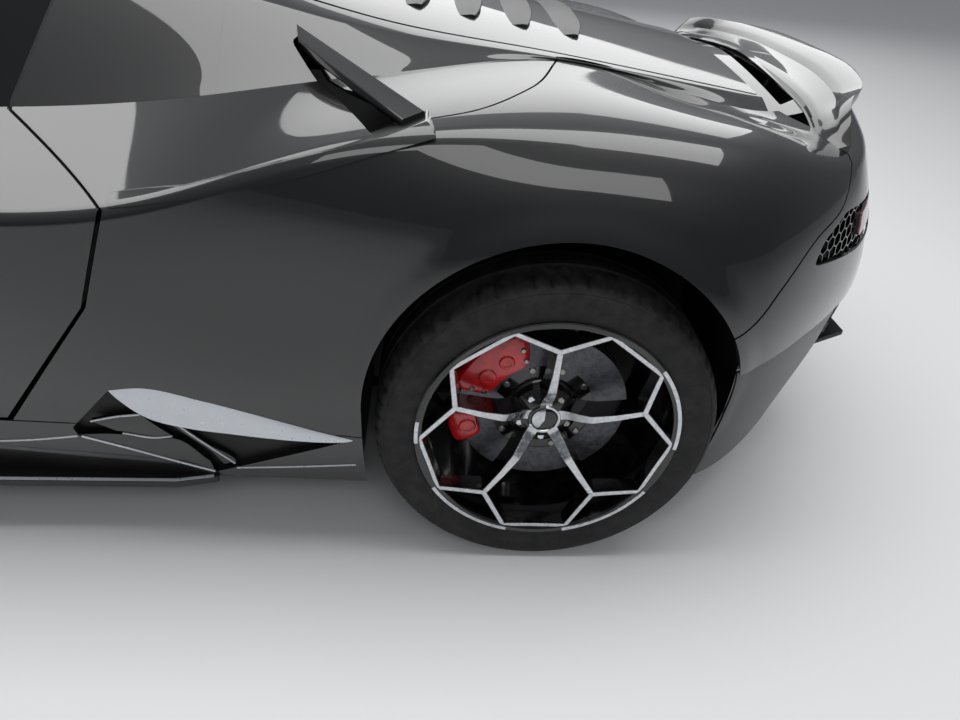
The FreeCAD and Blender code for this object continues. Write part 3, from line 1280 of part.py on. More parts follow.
def disc_faces(outer_y):
    """Outer and inner y of the disc's braking faces."""
    outer = outer_y - SPOKE_DEPTH - running_gap - HAT_DEPTH
    return outer, outer - size("disc_thickness")


def caliper(name, x, z, outer_y, disc_radius, start, sweep, reach=16, depth=70):
    """A caliper that straddles the disc with a 3 mm slot on each side."""
    outer, inner = disc_faces(outer_y)
    block = disc_sector(name + "_block", x, z, disc_radius - depth, disc_radius + 24, inner - reach, outer + reach,
                        start, sweep)
    slot = disc_sector(name + "_slot", x, z, disc_radius - depth - 5, disc_radius + 6, inner - 3, outer + 3,
                       start - 5, sweep + 10)
    return cut(name, block, slot)


front_z, rear_z = size("front_tyre_radius"), size("rear_tyre_radius")
pair("caliper_front", caliper("front_caliper", front_x, front_z, front_outer_y, size("front_disc_radius"), 150, 62))
both("rear_calipers",
     caliper("rear_caliper", rear_x, rear_z, rear_outer_y, size("rear_disc_radius"), 16, 58, 16, 62),
     caliper("parking_caliper", rear_x, rear_z, rear_outer_y, size("rear_disc_radius"), -28, 26, 14, 40))

ARM_DROP = 130
ARM_THICKNESS = 18
ARM_END = 14  # how far an arm reaches past its pin
PIN_RADIUS = size("ball_pin_radius")
POST_HALF = 16
BRACKET = 9


def upright(name, x, z, outer_y, pin_y, carriers):
    """Knuckle: a hub carrier behind the disc with a pin above and below it."""
    inner = disc_faces(outer_y)[1]
    hub_end = outer_y - SPOKE_DEPTH - HAT_WALL - 2 * running_gap
    carrier = cross_cylinder(name + "_hub", x, z, 58, pin_y - 50, hub_end)
    post = box(name + "_post", x - 30, x + 30, pin_y - POST_HALF, pin_y + POST_HALF, z - ARM_DROP + 22,
               z + ARM_DROP - 22)
    pin = doc.addObject("Part::Cylinder", name + "_pin")
    pin.Radius, pin.Height = PIN_RADIUS, 2 * ARM_DROP + ARM_THICKNESS
    pin.Placement = Placement(Vector(x, pin_y, z - ARM_DROP - ARM_THICKNESS / 2), Rotation())
    brackets = [
        disc_sector(f"{name}_bracket{i}", x, z, 50, reach_out, inner - reach - BRACKET - running_gap,
                    inner - reach - running_gap, start, sweep)
        for i, (start, sweep, reach, reach_out) in enumerate(carriers)
    ]
    return fuse(name, carrier, post, pin, *brackets)


pair("knuckle_front", upright("front_knuckle", front_x, front_z, front_outer_y, kingpin_y, [(150, 62, 16, 150)]))
REAR_PIN_INSET = 105
rear_pin_y = size("rear_track") / 2 - REAR_PIN_INSET
rear_knuckle = upright("rear_knuckle", rear_x, rear_z, rear_outer_y, rear_pin_y,
                       [(16, 58, 16, 150), (-28, 26, 14, 160)])
SHAFT_RADIUS = size("shaft_radius")
shaft_bore = cross_cylinder("shaft_bore", rear_x, rear_z, SHAFT_RADIUS + running_gap, 300, 900)
both("rear_knuckles", cut("rear_knuckle_bored", rear_knuckle, shaft_bore))

def wishbone(name, x, pin_y, z, inner_y):
    """A flat V-shaped arm from its pin to two chassis mounts."""
    half = 150
    outline = [
        (x - 18, pin_y + ARM_END), (x + 18, pin_y + ARM_END), (x + half + 30, inner_y), (x + half - 30, inner_y),
        (x, pin_y - 60), (x - half + 30, inner_y), (x - half - 30, inner_y),
    ]
    arm = plan_prism(name + "_plate", outline, z - ARM_THICKNESS / 2, z + ARM_THICKNESS / 2)
    bore = doc.addObject("Part::Cylinder", name + "_bore")
    bore.Radius, bore.Height = PIN_RADIUS + running_gap, ARM_THICKNESS * 2
    bore.Placement = Placement(Vector(x, pin_y, z - ARM_THICKNESS), Rotation())
    return cut(name, arm, bore)


both("suspension_arms", *[
    wishbone(f"{axle}_arm_{level}", x, pin_y, z + sign * ARM_DROP, inner_y + running_gap)
    for axle, x, pin_y, z, inner_y in (
        ("front", front_x, kingpin_y, front_z, WELL_HALF), ("rear", rear_x, rear_pin_y, rear_z, ENGINE_HALF),
    )
    for level, sign in (("lower", -1), ("upper", 1))
])
shaft = cross_cylinder("half_shaft", rear_x, rear_z, SHAFT_RADIUS, ENGINE_HALF + running_gap, disc_faces(rear_outer_y)[1] - 20)
both("half_shafts", shaft)

doc.recompute()

os.makedirs("parts", exist_ok=True)
for made in doc.Objects:
    if "Invalid" in made.State or "Error" in made.State:
        raise RuntimeError(f"{made.Label} failed: {made.State}")
for made in NODES:
    if made.Shape.isNull() or not made.Shape.isValid():
        raise RuntimeError(f"{made.Label} has no valid shape")
    made.Shape.exportStep(f"parts/{made.Label}.step")
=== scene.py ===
"""The looks of a mid-engined two-seat supercar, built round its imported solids.

Tables are in millimetres, in the solids' frame: +X to the nose, +Y to the car's left and +Z up.
Left-hand pieces are made, and mirrored for the right.
"""
import math

import bmesh
import bpy
import numpy as np
from mathutils import Matrix, Vector
from mathutils.bvhtree import BVHTree
from mathutils.interpolate import poly_3d_calc


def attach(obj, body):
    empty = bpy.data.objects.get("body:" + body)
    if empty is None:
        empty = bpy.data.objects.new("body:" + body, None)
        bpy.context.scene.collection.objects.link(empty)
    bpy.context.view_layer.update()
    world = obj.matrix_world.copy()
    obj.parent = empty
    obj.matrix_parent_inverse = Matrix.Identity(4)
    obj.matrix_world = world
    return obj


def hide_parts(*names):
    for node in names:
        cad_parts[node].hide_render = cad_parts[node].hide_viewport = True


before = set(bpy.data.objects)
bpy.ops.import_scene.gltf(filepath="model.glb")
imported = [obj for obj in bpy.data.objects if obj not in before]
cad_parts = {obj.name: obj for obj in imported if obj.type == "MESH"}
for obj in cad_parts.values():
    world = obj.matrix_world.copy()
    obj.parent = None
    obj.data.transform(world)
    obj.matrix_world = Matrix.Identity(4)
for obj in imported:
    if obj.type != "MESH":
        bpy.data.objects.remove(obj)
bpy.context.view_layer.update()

MM = 0.001
scene = bpy.context.scene

# Driving dimensions, as in the solids
NOSE_X, TAIL_X, FRONT_X, REAR_X = 2255, -2255, 1280, -1340
OUTSIDE_Y, OUTSIDE_Z = 1010, 1400  # cutting tools reach past the body to here
SILL_TOP = 326
PANEL_GAP = 8
SEAM = 3.2
FRONT_ARCH, REAR_ARCH = (1280, 357.5, 365.5), (-1340, 400, 367)  # x, z, radius
DOOR_FRONT_X, DOOR_FOOT_X, GLASS_FOOT_X = 860, -306, -365
NOSE_JOINT_X = 1655
ABOVE_SIDES = 1250
DOOR_REAR_LINE = [(-306, 326), (-511, 600), (-571, 774), (-365, 868)]
BUMPER_LINE = [(-1630, 590), (-1678, 614), (-1733, 680), (-1802, 750), (-1885, 787), (-1930, 850)]
LID_REAR_X, LID_FRONT_X, ROOF_REAR_X = -1805, -645, -565
BONNET_REAR_X = 1055


# Materials

def from_hex(code):
    """sRGB hex to the linear colour that a shader takes."""
    channels = [int(code[i:i + 2], 16) / 255 for i in (0, 2, 4)]
    return tuple(c / 12.92 if c <= 0.04045 else ((c + 0.055) / 1.055) ** 2.4 for c in channels) + (1.0,)


def add(tree, kind, settings=None, **links):
    """A node with its properties, input values and links by socket name, an underscore for a space."""
    made = tree.nodes.new("ShaderNode" + kind)
    for key, value in (settings or {}).items():
        if isinstance(key, str) and hasattr(made, key):
            setattr(made, key, value)
        else:
            made.inputs[key].default_value = value
    for name, source in links.items():
        key = int(name[1:]) if name[0] == "_" else name.replace("_", " ")
        tree.links.new(source, made.inputs[key])
    return made


def finish_of(name, colour, roughness, **sockets):
    """A material with its Principled shader: (material, tree, shader)."""
    made = bpy.data.materials.new(name)
    made.use_nodes = True
    tree = made.node_tree
    shader = tree.nodes["Principled BSDF"]
    shader.inputs["Base Color"].default_value = from_hex(colour)
    shader.inputs["Roughness"].default_value = roughness
    for key, value in sockets.items():
        shader.inputs[key.replace("_", " ")].default_value = value
    return made, tree, shader


def mm_pattern(tree, kind, size_mm, settings=None, **links):
    """A texture whose features are about size_mm across, from the object's own coordinates."""
    coordinates = add(tree, "TexCoord")
    return add(tree, kind, {"Scale": 1000 / size_mm, **(settings or {})},
               Vector=coordinates.outputs["Object"], **links)


def vary(tree, source, low, high, start=0.3, end=0.7):
    """A number that runs from low to high as the source does from start to end."""
    return add(tree, "MapRange", {"From Min": start, "From Max": end, "To Min": low, "To Max": high},
               Value=source).outputs[0]


def tint(tree, shader, source, plain, soiled, low=0.0, high=1.0, start=0.3, end=0.7):
    """The base colour runs from plain to soiled as the source runs from start to end."""
    blend = add(tree, "Mix", {"data_type": "RGBA", 6: from_hex(plain), 7: from_hex(soiled)},
                Factor=vary(tree, source, low, high, start, end))
    tree.links.new(blend.outputs[2], shader.inputs["Base Color"])


def roughen(tree, shader, source, low, high, start=0.3, end=0.7):
    """The roughness runs from low to high as the source runs from start to end."""
    tree.links.new(vary(tree, source, low, high, start, end), shader.inputs["Roughness"])


def raise_surface(tree, shader, source, depth_mm, strength=1.0, rounded_mm=0.0):
    """Bump of that depth, over edges rounded by that radius."""
    bump = add(tree, "Bump", {"Distance": depth_mm * MM, "Strength": strength}, Height=source)
    if rounded_mm:
        edge = add(tree, "Bevel", {"samples": 4, "Radius": rounded_mm * MM})
        tree.links.new(edge.outputs[0], bump.inputs["Normal"])
    tree.links.new(bump.outputs[0], shader.inputs["Normal"])
    return bump


# Gloss black coach paint under clear lacquer, sprayed and polished: a mirror with a faint orange
# peel, dulled in patches by road dust and wiping
paint, tree, shader = finish_of("lacquered_black_paint", "050506", 0.4, Specular_IOR_Level=0.3,
                                Coat_Weight=1.0, Coat_IOR=1.6)
dust = mm_pattern(tree, "TexNoise", 240, {"Detail": 5.0, "Roughness": 0.62})
tree.links.new(vary(tree, dust.outputs["Fac"], 0.012, 0.075, 0.42, 0.72), shader.inputs["Coat Roughness"])
height = add(tree, "SeparateXYZ", Vector=add(tree, "TexCoord").outputs["Object"])
low_dust = vary(tree, height.outputs["Z"], 1.0, 0.0, 0.12, 0.52)
dusty = add(tree, "Math", {"operation": "MULTIPLY"}, _0=low_dust,
            _1=vary(tree, dust.outputs["Fac"], 0.0, 0.5, 0.4, 0.75))
film = add(tree, "Mix", {"data_type": "RGBA", 6: from_hex("050506"), 7: from_hex("2E2C29")},
           Factor=dusty.outputs[0])
tree.links.new(film.outputs[2], shader.inputs["Base Color"])
peel = mm_pattern(tree, "TexNoise", 3.5, {"Detail": 1.0})
raise_surface(tree, shader, peel.outputs["Fac"], 0.012, 0.10, 1.4)

# Satin black moulding of the diffuser and blades: polypropylene, textured in the mould
satin, tree, shader = finish_of("moulded_satin_black", "0E0E0F", 0.42, Coat_Weight=0.25, Coat_Roughness=0.3)
grain = mm_pattern(tree, "TexNoise", 1.6, {"Detail": 3.0})
raise_surface(tree, shader, grain.outputs["Fac"], 0.04, 0.25, 1.0)
roughen(tree, shader, grain.outputs["Fac"], 0.36, 0.5)

# Grained black plastic of the arch liners, underfloor and scuttle, dusty in its hollows
grained, tree, shader = finish_of("grained_black_plastic", "0B0B0B", 0.62)
cells = mm_pattern(tree, "TexVoronoi", 2.2)
raise_surface(tree, shader, cells.outputs["Distance"], 0.12, 0.5, 0.8)
soil = mm_pattern(tree, "TexNoise", 70, {"Detail": 4.0})
tint(tree, shader, soil.outputs["Fac"], "090909", "1F1D1B", 0.0, 1.0, 0.45, 0.75)

# Gloss black acrylic mouldings: grille frames, vanes and lamp housings
piano, tree, shader = finish_of("gloss_black_acrylic", "050505", 0.06, Coat_Weight=0.6, Coat_Roughness=0.02)
swirl = mm_pattern(tree, "TexNoise", 30, {"Detail": 3.0})
roughen(tree, shader, swirl.outputs["Fac"], 0.04, 0.12)
raise_surface(tree, shader, swirl.outputs["Fac"], 0.01, 0.05, 0.8)

# Toughened glass, tinted in the melt: dark, with a clean reflection
glass, tree, shader = finish_of("tinted_window_glass", "171C1D", 0.0, Transmission_Weight=0.72, IOR=1.5)
film = mm_pattern(tree, "TexNoise", 160, {"Detail": 4.0})
roughen(tree, shader, film.outputs["Fac"], 0.0, 0.03, 0.5, 0.8)

# Clear polycarbonate lamp lens, hard coated
lens, tree, shader = finish_of("polycarbonate_lens", "D9DEE2", 0.02, Transmission_Weight=0.94, IOR=1.58)
flow = mm_pattern(tree, "TexNoise", 25, {"Detail": 2.0})
raise_surface(tree, shader, flow.outputs["Fac"], 0.01, 0.08)

# Red acrylic of the tail lamps, ribbed inside
red_lens, tree, shader = finish_of("ribbed_red_acrylic", "7E0309", 0.08, Transmission_Weight=0.35, IOR=1.49,
                                   Coat_Weight=1.0, Coat_Roughness=0.02)
ribs = mm_pattern(tree, "TexWave", 9, {"Distortion": 0.0})
raise_surface(tree, shader, ribs.outputs["Fac"], 0.5, 0.5, 0.6)

# Tyre rubber, moulded: matt, greyed by scuffing
rubber, tree, shader = finish_of("moulded_tyre_rubber", "17171A", 0.72, Specular_IOR_Level=0.35)
scuff = mm_pattern(tree, "TexNoise", 28, {"Detail": 6.0, "Roughness": 0.7})
fine = mm_pattern(tree, "TexNoise", 1.2, {"Detail": 2.0})
tint(tree, shader, scuff.outputs["Fac"], "131315", "3A3937", 0.0, 0.8, 0.4, 0.75)
roughen(tree, shader, scuff.outputs["Fac"], 0.6, 0.85)
raise_surface(tree, shader, fine.outputs["Fac"], 0.06, 0.3)

# Forged alloy faces turned on a lathe and lacquered: bright, with an uneven sheen
turned, tree, shader = finish_of("turned_alloy_face", "C9CCCF", 0.2, Metallic=1.0, Coat_Weight=0.5,
                                 Coat_Roughness=0.05)
sheen = mm_pattern(tree, "TexNoise", 8, {"Detail": 3.0})
roughen(tree, shader, sheen.outputs["Fac"], 0.16, 0.3)
tint(tree, shader, sheen.outputs["Fac"], "B9BCC0", "DCDEE0")
raise_surface(tree, shader, sheen.outputs["Fac"], 0.02, 0.15, 0.7)

# The same wheel's pockets and barrel: gloss black powder coat with brake dust
coated, tree, shader = finish_of("gloss_black_powder_coat", "08080A", 0.16, Coat_Weight=0.7,
                                 Coat_Roughness=0.06)
brake_dust = mm_pattern(tree, "TexNoise", 34, {"Detail": 5.0})
tint(tree, shader, brake_dust.outputs["Fac"], "070708", "1E1B19", 0.0, 1.0, 0.48, 0.8)
roughen(tree, shader, brake_dust.outputs["Fac"], 0.12, 0.4, 0.45, 0.8)
raise_surface(tree, shader, brake_dust.outputs["Fac"], 0.02, 0.1, 1.0)

# Cast iron brake disc, turned, grey with light scoring
iron, tree, shader = finish_of("turned_cast_iron", "56565A", 0.42, Metallic=0.9)
score = mm_pattern(tree, "TexNoise", 12, {"Detail": 7.0, "Roughness": 0.75})
tint(tree, shader, score.outputs["Fac"], "3D3D41", "74747A")
roughen(tree, shader, score.outputs["Fac"], 0.3, 0.55)
raise_surface(tree, shader, score.outputs["Fac"], 0.05, 0.2)

# Red stoved enamel over a cast caliper: soft casting texture under gloss
enamel, tree, shader = finish_of("red_caliper_enamel", "C4161C", 0.28, Coat_Weight=0.8, Coat_Roughness=0.08)
casting = mm_pattern(tree, "TexNoise", 3.0, {"Detail": 3.0})
raise_surface(tree, shader, casting.outputs["Fac"], 0.12, 0.35, 1.2)
grime = mm_pattern(tree, "TexNoise", 22, {"Detail": 4.0})
tint(tree, shader, grime.outputs["Fac"], "CE1A20", "7C0E12", 0.0, 0.9, 0.45, 0.8)

# Zinc-plated bolts and hose ends
zinc, tree, shader = finish_of("zinc_plated_steel", "9B9A94", 0.34, Metallic=1.0)
plating = mm_pattern(tree, "TexNoise", 6, {"Detail": 2.0})
roughen(tree, shader, plating.outputs["Fac"], 0.25, 0.45)

# Brushed stainless steel of the exhaust tips, blued a little at the mouth
steel, tree, shader = finish_of("brushed_stainless_steel", "8C8A88", 0.28, Metallic=1.0)
brushing = mm_pattern(tree, "TexNoise", 10, {"Detail": 4.0})
tint(tree, shader, brushing.outputs["Fac"], "7E7C7B", "A7A29C")
raise_surface(tree, shader, brushing.outputs["Fac"], 0.02, 0.1, 0.8)

# Cast aluminium of the engine block, knuckles and arms, sand cast and blasted
cast, tree, shader = finish_of("blasted_cast_aluminium", "8E8F91", 0.5, Metallic=0.95)
blast = mm_pattern(tree, "TexNoise", 1.8, {"Detail": 4.0})
raise_surface(tree, shader, blast.outputs["Fac"], 0.12, 0.4, 1.2)
roughen(tree, shader, blast.outputs["Fac"], 0.42, 0.6)

# Resin-bonded carbon tub: satin, its weave barely showing
twill, tree, shader = finish_of("satin_carbon_twill", "121214", 0.38, Coat_Weight=0.4, Coat_Roughness=0.2)
weave = mm_pattern(tree, "TexChecker", 12, {"Color1": from_hex("0E0E10"), "Color2": from_hex("1B1B1E")})
tree.links.new(weave.outputs["Color"], shader.inputs["Base Color"])
raise_surface(tree, shader, weave.outputs["Fac"], 0.05, 0.2, 1.0)

# Black dyed leather on the seats and dashboard: fine pebbled grain with a low sheen
leather, tree, shader = finish_of("black_dyed_leather", "121113", 0.55, Sheen_Weight=0.15,
                                  Sheen_Roughness=0.5)
pebble = mm_pattern(tree, "TexVoronoi", 1.8)
raise_surface(tree, shader, pebble.outputs["Distance"], 0.15, 0.5, 2.0)
crease = mm_pattern(tree, "TexNoise", 60, {"Detail": 4.0})
roughen(tree, shader, crease.outputs["Fac"], 0.45, 0.66)

# Brushed microfibre of the seat centres, a woven pile
suede, tree, shader = finish_of("microfibre_suede", "1B1A1C", 0.9, Sheen_Weight=0.5, Sheen_Roughness=0.4)
pile = mm_pattern(tree, "TexNoise", 2.5, {"Detail": 3.0})
raise_surface(tree, shader, pile.outputs["Fac"], 0.15, 0.4)
tint(tree, shader, pile.outputs["Fac"], "161517", "262427")

# Vacuum-coated silver of the lamps' reflectors and the mirror glass
silvered, tree, shader = finish_of("silvered_reflector", "D8DADC", 0.08, Metallic=1.0)
facets = mm_pattern(tree, "TexVoronoi", 12)
raise_surface(tree, shader, facets.outputs["Distance"], 0.6, 0.3)

# Opal light guide of the daytime lamps
opal, tree, shader = finish_of("opal_light_guide", "E8ECEF", 0.3, Transmission_Weight=0.2,
                               Emission_Strength=0.15)
shader.inputs["Emission Color"].default_value = from_hex("FFFFFF")
milk = mm_pattern(tree, "TexNoise", 14)
roughen(tree, shader, milk.outputs["Fac"], 0.25, 0.4)

# Pale anodised-looking trim: on the side intake's fin, along its edges and on the sill's blade and lines it
# is a painted highlight, pale where those edges catch the light; on the steering wheel's spokes it is the
# trim's own colour
pale_trim_and_highlight, tree, shader = finish_of("pale_anodised_trim", "D2D6DB", 0.36, Metallic=0.25, Coat_Weight=0.3,
                                   Coat_Roughness=0.1)
streak = mm_pattern(tree, "TexNoise", 18, {"Detail": 3.0})
roughen(tree, shader, streak.outputs["Fac"], 0.24, 0.42)
raise_surface(tree, shader, streak.outputs["Fac"], 0.004, 0.05, 0.8)


# Lines and surfaces

def smooth_line(knots, steps, crease=None, ends=(None, None)):
    """Points along a smooth curve through the knots. Crease 1 leaves a corner at a knot, and an
    end's mask keeps only those parts of its direction, as where a curve meets its mirror image."""
    knots = np.asarray(knots, float)
    count = len(knots)
    tail = (1,) * (knots.ndim - 1)
    span = np.diff(knots, axis=0)
    reach = np.linalg.norm(span, axis=-1).reshape(count - 1, -1).mean(1) + 1e-9
    slope = span / reach.reshape(-1, *tail)
    sharp = np.zeros(count) if crease is None else np.asarray(crease, float)
    sharp = np.broadcast_to(sharp.reshape(sharp.shape + (1,) * (knots.ndim - sharp.ndim)), knots.shape)
    middle = np.empty_like(knots)
    before, after = reach[:-1].reshape(-1, *tail), reach[1:].reshape(-1, *tail)
    middle[1:-1] = (slope[:-1] * after + slope[1:] * before) / (before + after)
    middle[0] = slope[0] if ends[0] is None else slope[0] * np.array(ends[0])
    middle[-1] = slope[-1] if ends[1] is None else slope[-1] * np.array(ends[1])
    points = []
    for i in range(count - 1):
        out_of, into = middle[i], middle[i + 1]
        if i > 0:
            out_of = out_of + (slope[i] - out_of) * sharp[i]
        if i < count - 2:
            into = into + (slope[i] - into) * sharp[i + 1]
        n = steps if isinstance(steps, int) else steps[i]
        for k in range(n):
            t = k / n
            a, b = knots[i], knots[i + 1]
            points.append(
                (2 * t ** 3 - 3 * t ** 2 + 1) * a + (t ** 3 - 2 * t ** 2 + t) * reach[i] * out_of
                + (3 * t ** 2 - 2 * t ** 3) * b + (t ** 3 - t ** 2) * reach[i] * into
            )
    points.append(knots[-1])
    return np.array(points)


def normals_of(grid):
    """Unit normals of a grid of points, outward where rows run back and columns run up."""
    along = np.gradient(grid, axis=0)
    up = np.gradient(grid, axis=1)
    n = np.cross(up, along)
    return n / (np.linalg.norm(n, axis=-1, keepdims=True) + 1e-12)


def turned_out(normals, axis=2):
    """The normals, all turned over where most of them point down the axis."""
    return -normals if normals[..., axis].mean() < 0 else normals


#  station         x      y    turn   sill        low        flank      shoulder    belt      crease
SIDE = [
    ("nose",       2255,    0,   0, (60, 115), (10, 250), (0, 400), (70, 520),  (130, 560), 0.7),
    ("nose_side",  2180,  430,  18, (60, 115), (10, 260), (0, 410), (70, 535),  (150, 580), 0.7),
    ("lamp",       1980,  790,  48, (60, 120), (10, 270), (0, 430), (60, 575),  (230, 640), 0.7),
    ("front_arch", 1655,  925,  78, (60, 140), (5, 310),  (0, 480), (40, 690),  (215, 708), 0.8),
    ("front_axle", 1280,  955,  90, (60, 150), (5, 330),  (0, 560), (60, 775),  (255, 790), 0.8),
    ("door_front",  880,  940,  90, (80, 150), (25, 330), (0, 560), (30, 775),  (200, 815), 0.9),
    ("door_mid",    195,  922,  90, (80, 150), (25, 310), (0, 560), (10, 772),  (185, 850), 1.0),
    ("door_rear",  -571,  945,  90, (85, 150), (25, 330), (0, 560), (15, 774),  (245, 886), 1.0),
    ("rear_arch",  -990,  955,  90, (85, 150), (15, 340), (0, 630), (55, 900),  (345, 940), 0.75),
    ("rear_axle", -1340,  962,  90, (85, 150), (15, 350), (0, 690), (105, 922), (480, 962), 0.2),
    ("arch_rear", -1705,  930, 100, (60, 170), (20, 360), (0, 650), (110, 895), (455, 912), 0.1),
    ("corner",    -1980,  710, 130, (60, 180), (20, 370), (0, 620), (70, 840),  (280, 890), 0.3),
    ("tail_side", -2160,  430, 155, (60, 190), (0, 390),  (0, 620), (80, 835),  (150, 900), 0.6),
    ("tail",      -2255,    0, 180, (60, 190), (0, 390),  (0, 620), (90, 835),  (150, 905), 0.8),
]
SIDE_STEPS = [18, 24, 26, 26, 26, 36, 40, 30, 26, 26, 24, 20, 20]
HOOP_STEPS = [7, 10, 12, 12]
hoops = []
for name, x, y, turn, *rows, crease in SIDE:
    angle = math.radians(turn)
    hoops.append([(x - inset * math.cos(angle), y - inset * math.sin(angle), z) for inset, z in rows])
along = smooth_line(hoops, SIDE_STEPS, ends=((0, 1, 0), (0, 1, 0)))
station_place = np.concatenate([np.arange(n) / n + i for i, n in enumerate(SIDE_STEPS)] + [[len(SIDE) - 1]])
shoulder_crease = np.interp(station_place, range(len(SIDE)), [row[-1] for row in SIDE])
creases = np.zeros((5, len(along), 1))
creases[3, :, 0] = shoulder_crease
creases[1, :, 0] = 0.35
side_grid = smooth_line(along.transpose(1, 0, 2), HOOP_STEPS, creases).transpose(1, 0, 2)
side_normal = -normals_of(side_grid)
LOW_ROW, FLANK_ROW, SHOULDER_ROW, BELT_ROW = np.cumsum(HOOP_STEPS)


def side_column(x):
    """The column of the side grid at x, by its flank."""
    return int(np.argmin(np.abs(side_grid[:, FLANK_ROW, 0] - x)))


# Hollows and swellings pressed into the sides: centre x, z, reach x, z, depth out of the panel
PRESSED = [
    (-800, 600, 260, 130, -13),
    (120, 520, 560, 110, -7),
    (-1560, 560, 160, 120, 4),
]
ARCH_LIP, LIP_START = 5, 14
for cx, cz, rx, rz, depth in PRESSED:
    away = ((side_grid[..., 0] - cx) / rx) ** 2 + ((side_grid[..., 2] - cz) / rz) ** 2
    side_grid += side_normal * (depth * np.exp(-away))[..., None]
for cx, cz, radius in (FRONT_ARCH, REAR_ARCH):
    from_edge = np.hypot(side_grid[..., 0] - cx, side_grid[..., 2] - cz) - radius
    past = from_edge - LIP_START
    swell = -ARCH_LIP * np.clip(past / 30, 0, 1) * np.exp(-np.clip(past, 0, None) / 90)
    above = np.clip((side_grid[..., 2] - cz + 200) / 150, 0, 1)
    side_grid += side_normal * (swell * above)[..., None]
side_normal = -normals_of(side_grid)
belt_line = side_grid[:, BELT_ROW]


def belt_at(x):
    """Belt point of the left side at x: (y, z)."""
    order = np.argsort(belt_line[:, 0])
    return np.array([np.interp(x, belt_line[order, 0], belt_line[order, k]) for k in (1, 2)])


#    x     rail y  rail z  centre z
UPPER = [
    (955,   700,  828,  872),
    (620,   640,  942, 1000),
    (245,   560, 1088, 1126),
    (-5,    545, 1122, 1165),
    (-365,  535, 1110, 1153),
    (-705,  520, 1052, 1106),
    (-1005, 500,  998, 1045),
    (-1340, 478,  966,  998),
    (-1705, 452,  920,  947),
    (-1930, 430,  892,  914),
]
UPPER_STEPS = 22
UPPER_HOOP_STEPS, RAIL_CREASE = [14, 10, 8], 0.55
upper_knots = smooth_line([[(x, ry, rz), (x, 0, cz)] for x, ry, rz, cz in UPPER], UPPER_STEPS)
rows = []
for (x, ry, rz), (_, _, cz) in upper_knots:
    by, bz = belt_at(x)
    rows.append([(x, by, bz), (x, ry, rz), (x, ry * 0.45, rz + (cz - rz) * 0.75), (x, 0, cz)])
rows = np.array(rows)
half = smooth_line(rows.transpose(1, 0, 2), UPPER_HOOP_STEPS, [0, RAIL_CREASE, 0, 0],
                   ends=(None, (0, 1, 0))).transpose(1, 0, 2)
upper_grid = np.concatenate([half, half[:, -2::-1] * (1, -1, 1)], axis=1)
upper_normal = turned_out(normals_of(upper_grid))

#    x     centre z, fall to the edge
BONNET = [(2255, 540, 30), (2135, 558, 35), (2038, 594, 35), (1826, 668, 35),
          (1610, 741, 35), (1280, 826, 41), (1035, 859, 60)]
bonnet_line = smooth_line([[(x, z, fall)] for x, z, fall in BONNET], 14)[:, 0]
bonnet_x = bonnet_line[:, 0]
BONNET_HALF = 780
bonnet_shares = np.linspace(-1, 1, 61)
bonnet_grid = np.array([
    [(x, BONNET_HALF * -s, z - fall * abs(s) ** 1.5) for s in bonnet_shares] for x, z, fall in bonnet_line
])


def nearest_belt(grid):
    """Each point's nearest place on the belt line round the car from above: (index, distance, line)."""
    line = np.concatenate([belt_line[::2], belt_line[::-2] * (1, -1, 1)])
    flat = grid.reshape(-1, 3)
    near = np.empty(len(flat), int)
    for i in range(0, len(flat), 500):
        part = flat[i:i + 500, None, :2] - line[None, :, :2]
        near[i:i + 500] = np.argmin((part ** 2).sum(-1), axis=1)
    away = np.hypot(*(flat[:, :2] - line[near, :2]).T)
    return near, away, line


near, away, line = nearest_belt(bonnet_grid)
from_screen = np.argsort(bonnet_x)


def bonnet_height(x, y):
    """The plain bonnet's height at (x, y), before it bends to the belt line."""
    z = np.interp(x, bonnet_x[from_screen], bonnet_line[from_screen, 1])
    fall = np.interp(x, bonnet_x[from_screen], bonnet_line[from_screen, 2])
    return z - fall * np.abs(y / BONNET_HALF) ** 1.5


gap_z = line[near, 2] - bonnet_height(line[near, 0], line[near, 1])
bonnet_grid = bonnet_grid.reshape(-1, 3)
bonnet_grid[:, 2] += gap_z * np.exp(-(away / 130) ** 2)
# Two creases run back from the lamps, with a shallow valley between them and the wings
CREASE_RISE = 9
crease_y = 330 + (2135 - bonnet_grid[:, 0]) * 0.16
off = np.abs(bonnet_grid[:, 1]) - crease_y
ridge = CREASE_RISE * np.exp(-(off / 60) ** 2) * np.clip((away - 30) / 120, 0, 1)
valley = CREASE_RISE * np.exp(-((off - 110) / 90) ** 2) * np.clip((away - 40) / 150, 0, 1)
bonnet_grid[:, 2] += ridge - valley
bonnet_grid = bonnet_grid.reshape(len(bonnet_line), len(bonnet_shares), 3)
bonnet_normal = turned_out(normals_of(bonnet_grid))


# Meshes

def to_object(name, verts, faces, material=None, normals=None, smooth_angle=None):
    """An object from millimetre points. Normals, one a corner, override the mesh's own."""
    mesh = bpy.data.meshes.new(name)
    mesh.from_pydata([tuple(v) for v in np.asarray(verts) * MM], [], [tuple(f) for f in faces])
    mesh.validate()
    mesh.update()
    made = bpy.data.objects.new(name, mesh)
    scene.collection.objects.link(made)
    for m in (material if isinstance(material, (list, tuple)) else [material] if material else []):
        mesh.materials.append(m)
    if smooth_angle is not None:
        mesh.polygons.foreach_set("use_smooth", [True] * len(mesh.polygons))
        mesh.set_sharp_from_angle(angle=math.radians(smooth_angle))
    if normals is not None:
        mesh.polygons.foreach_set("use_smooth", [True] * len(mesh.polygons))
        mesh.normals_split_custom_set(normals)
    return made


def grid_faces(rows, columns, start=0, flip=False):
    """The four-sided faces of a grid of points that begins at index start."""
    faces = []
    for i in range(rows - 1):
        for j in range(columns - 1):
            a = start + i * columns + j
            quad = (a, a + 1, a + columns + 1, a + columns)
            faces.append(quad[::-1] if flip else quad)
    return faces


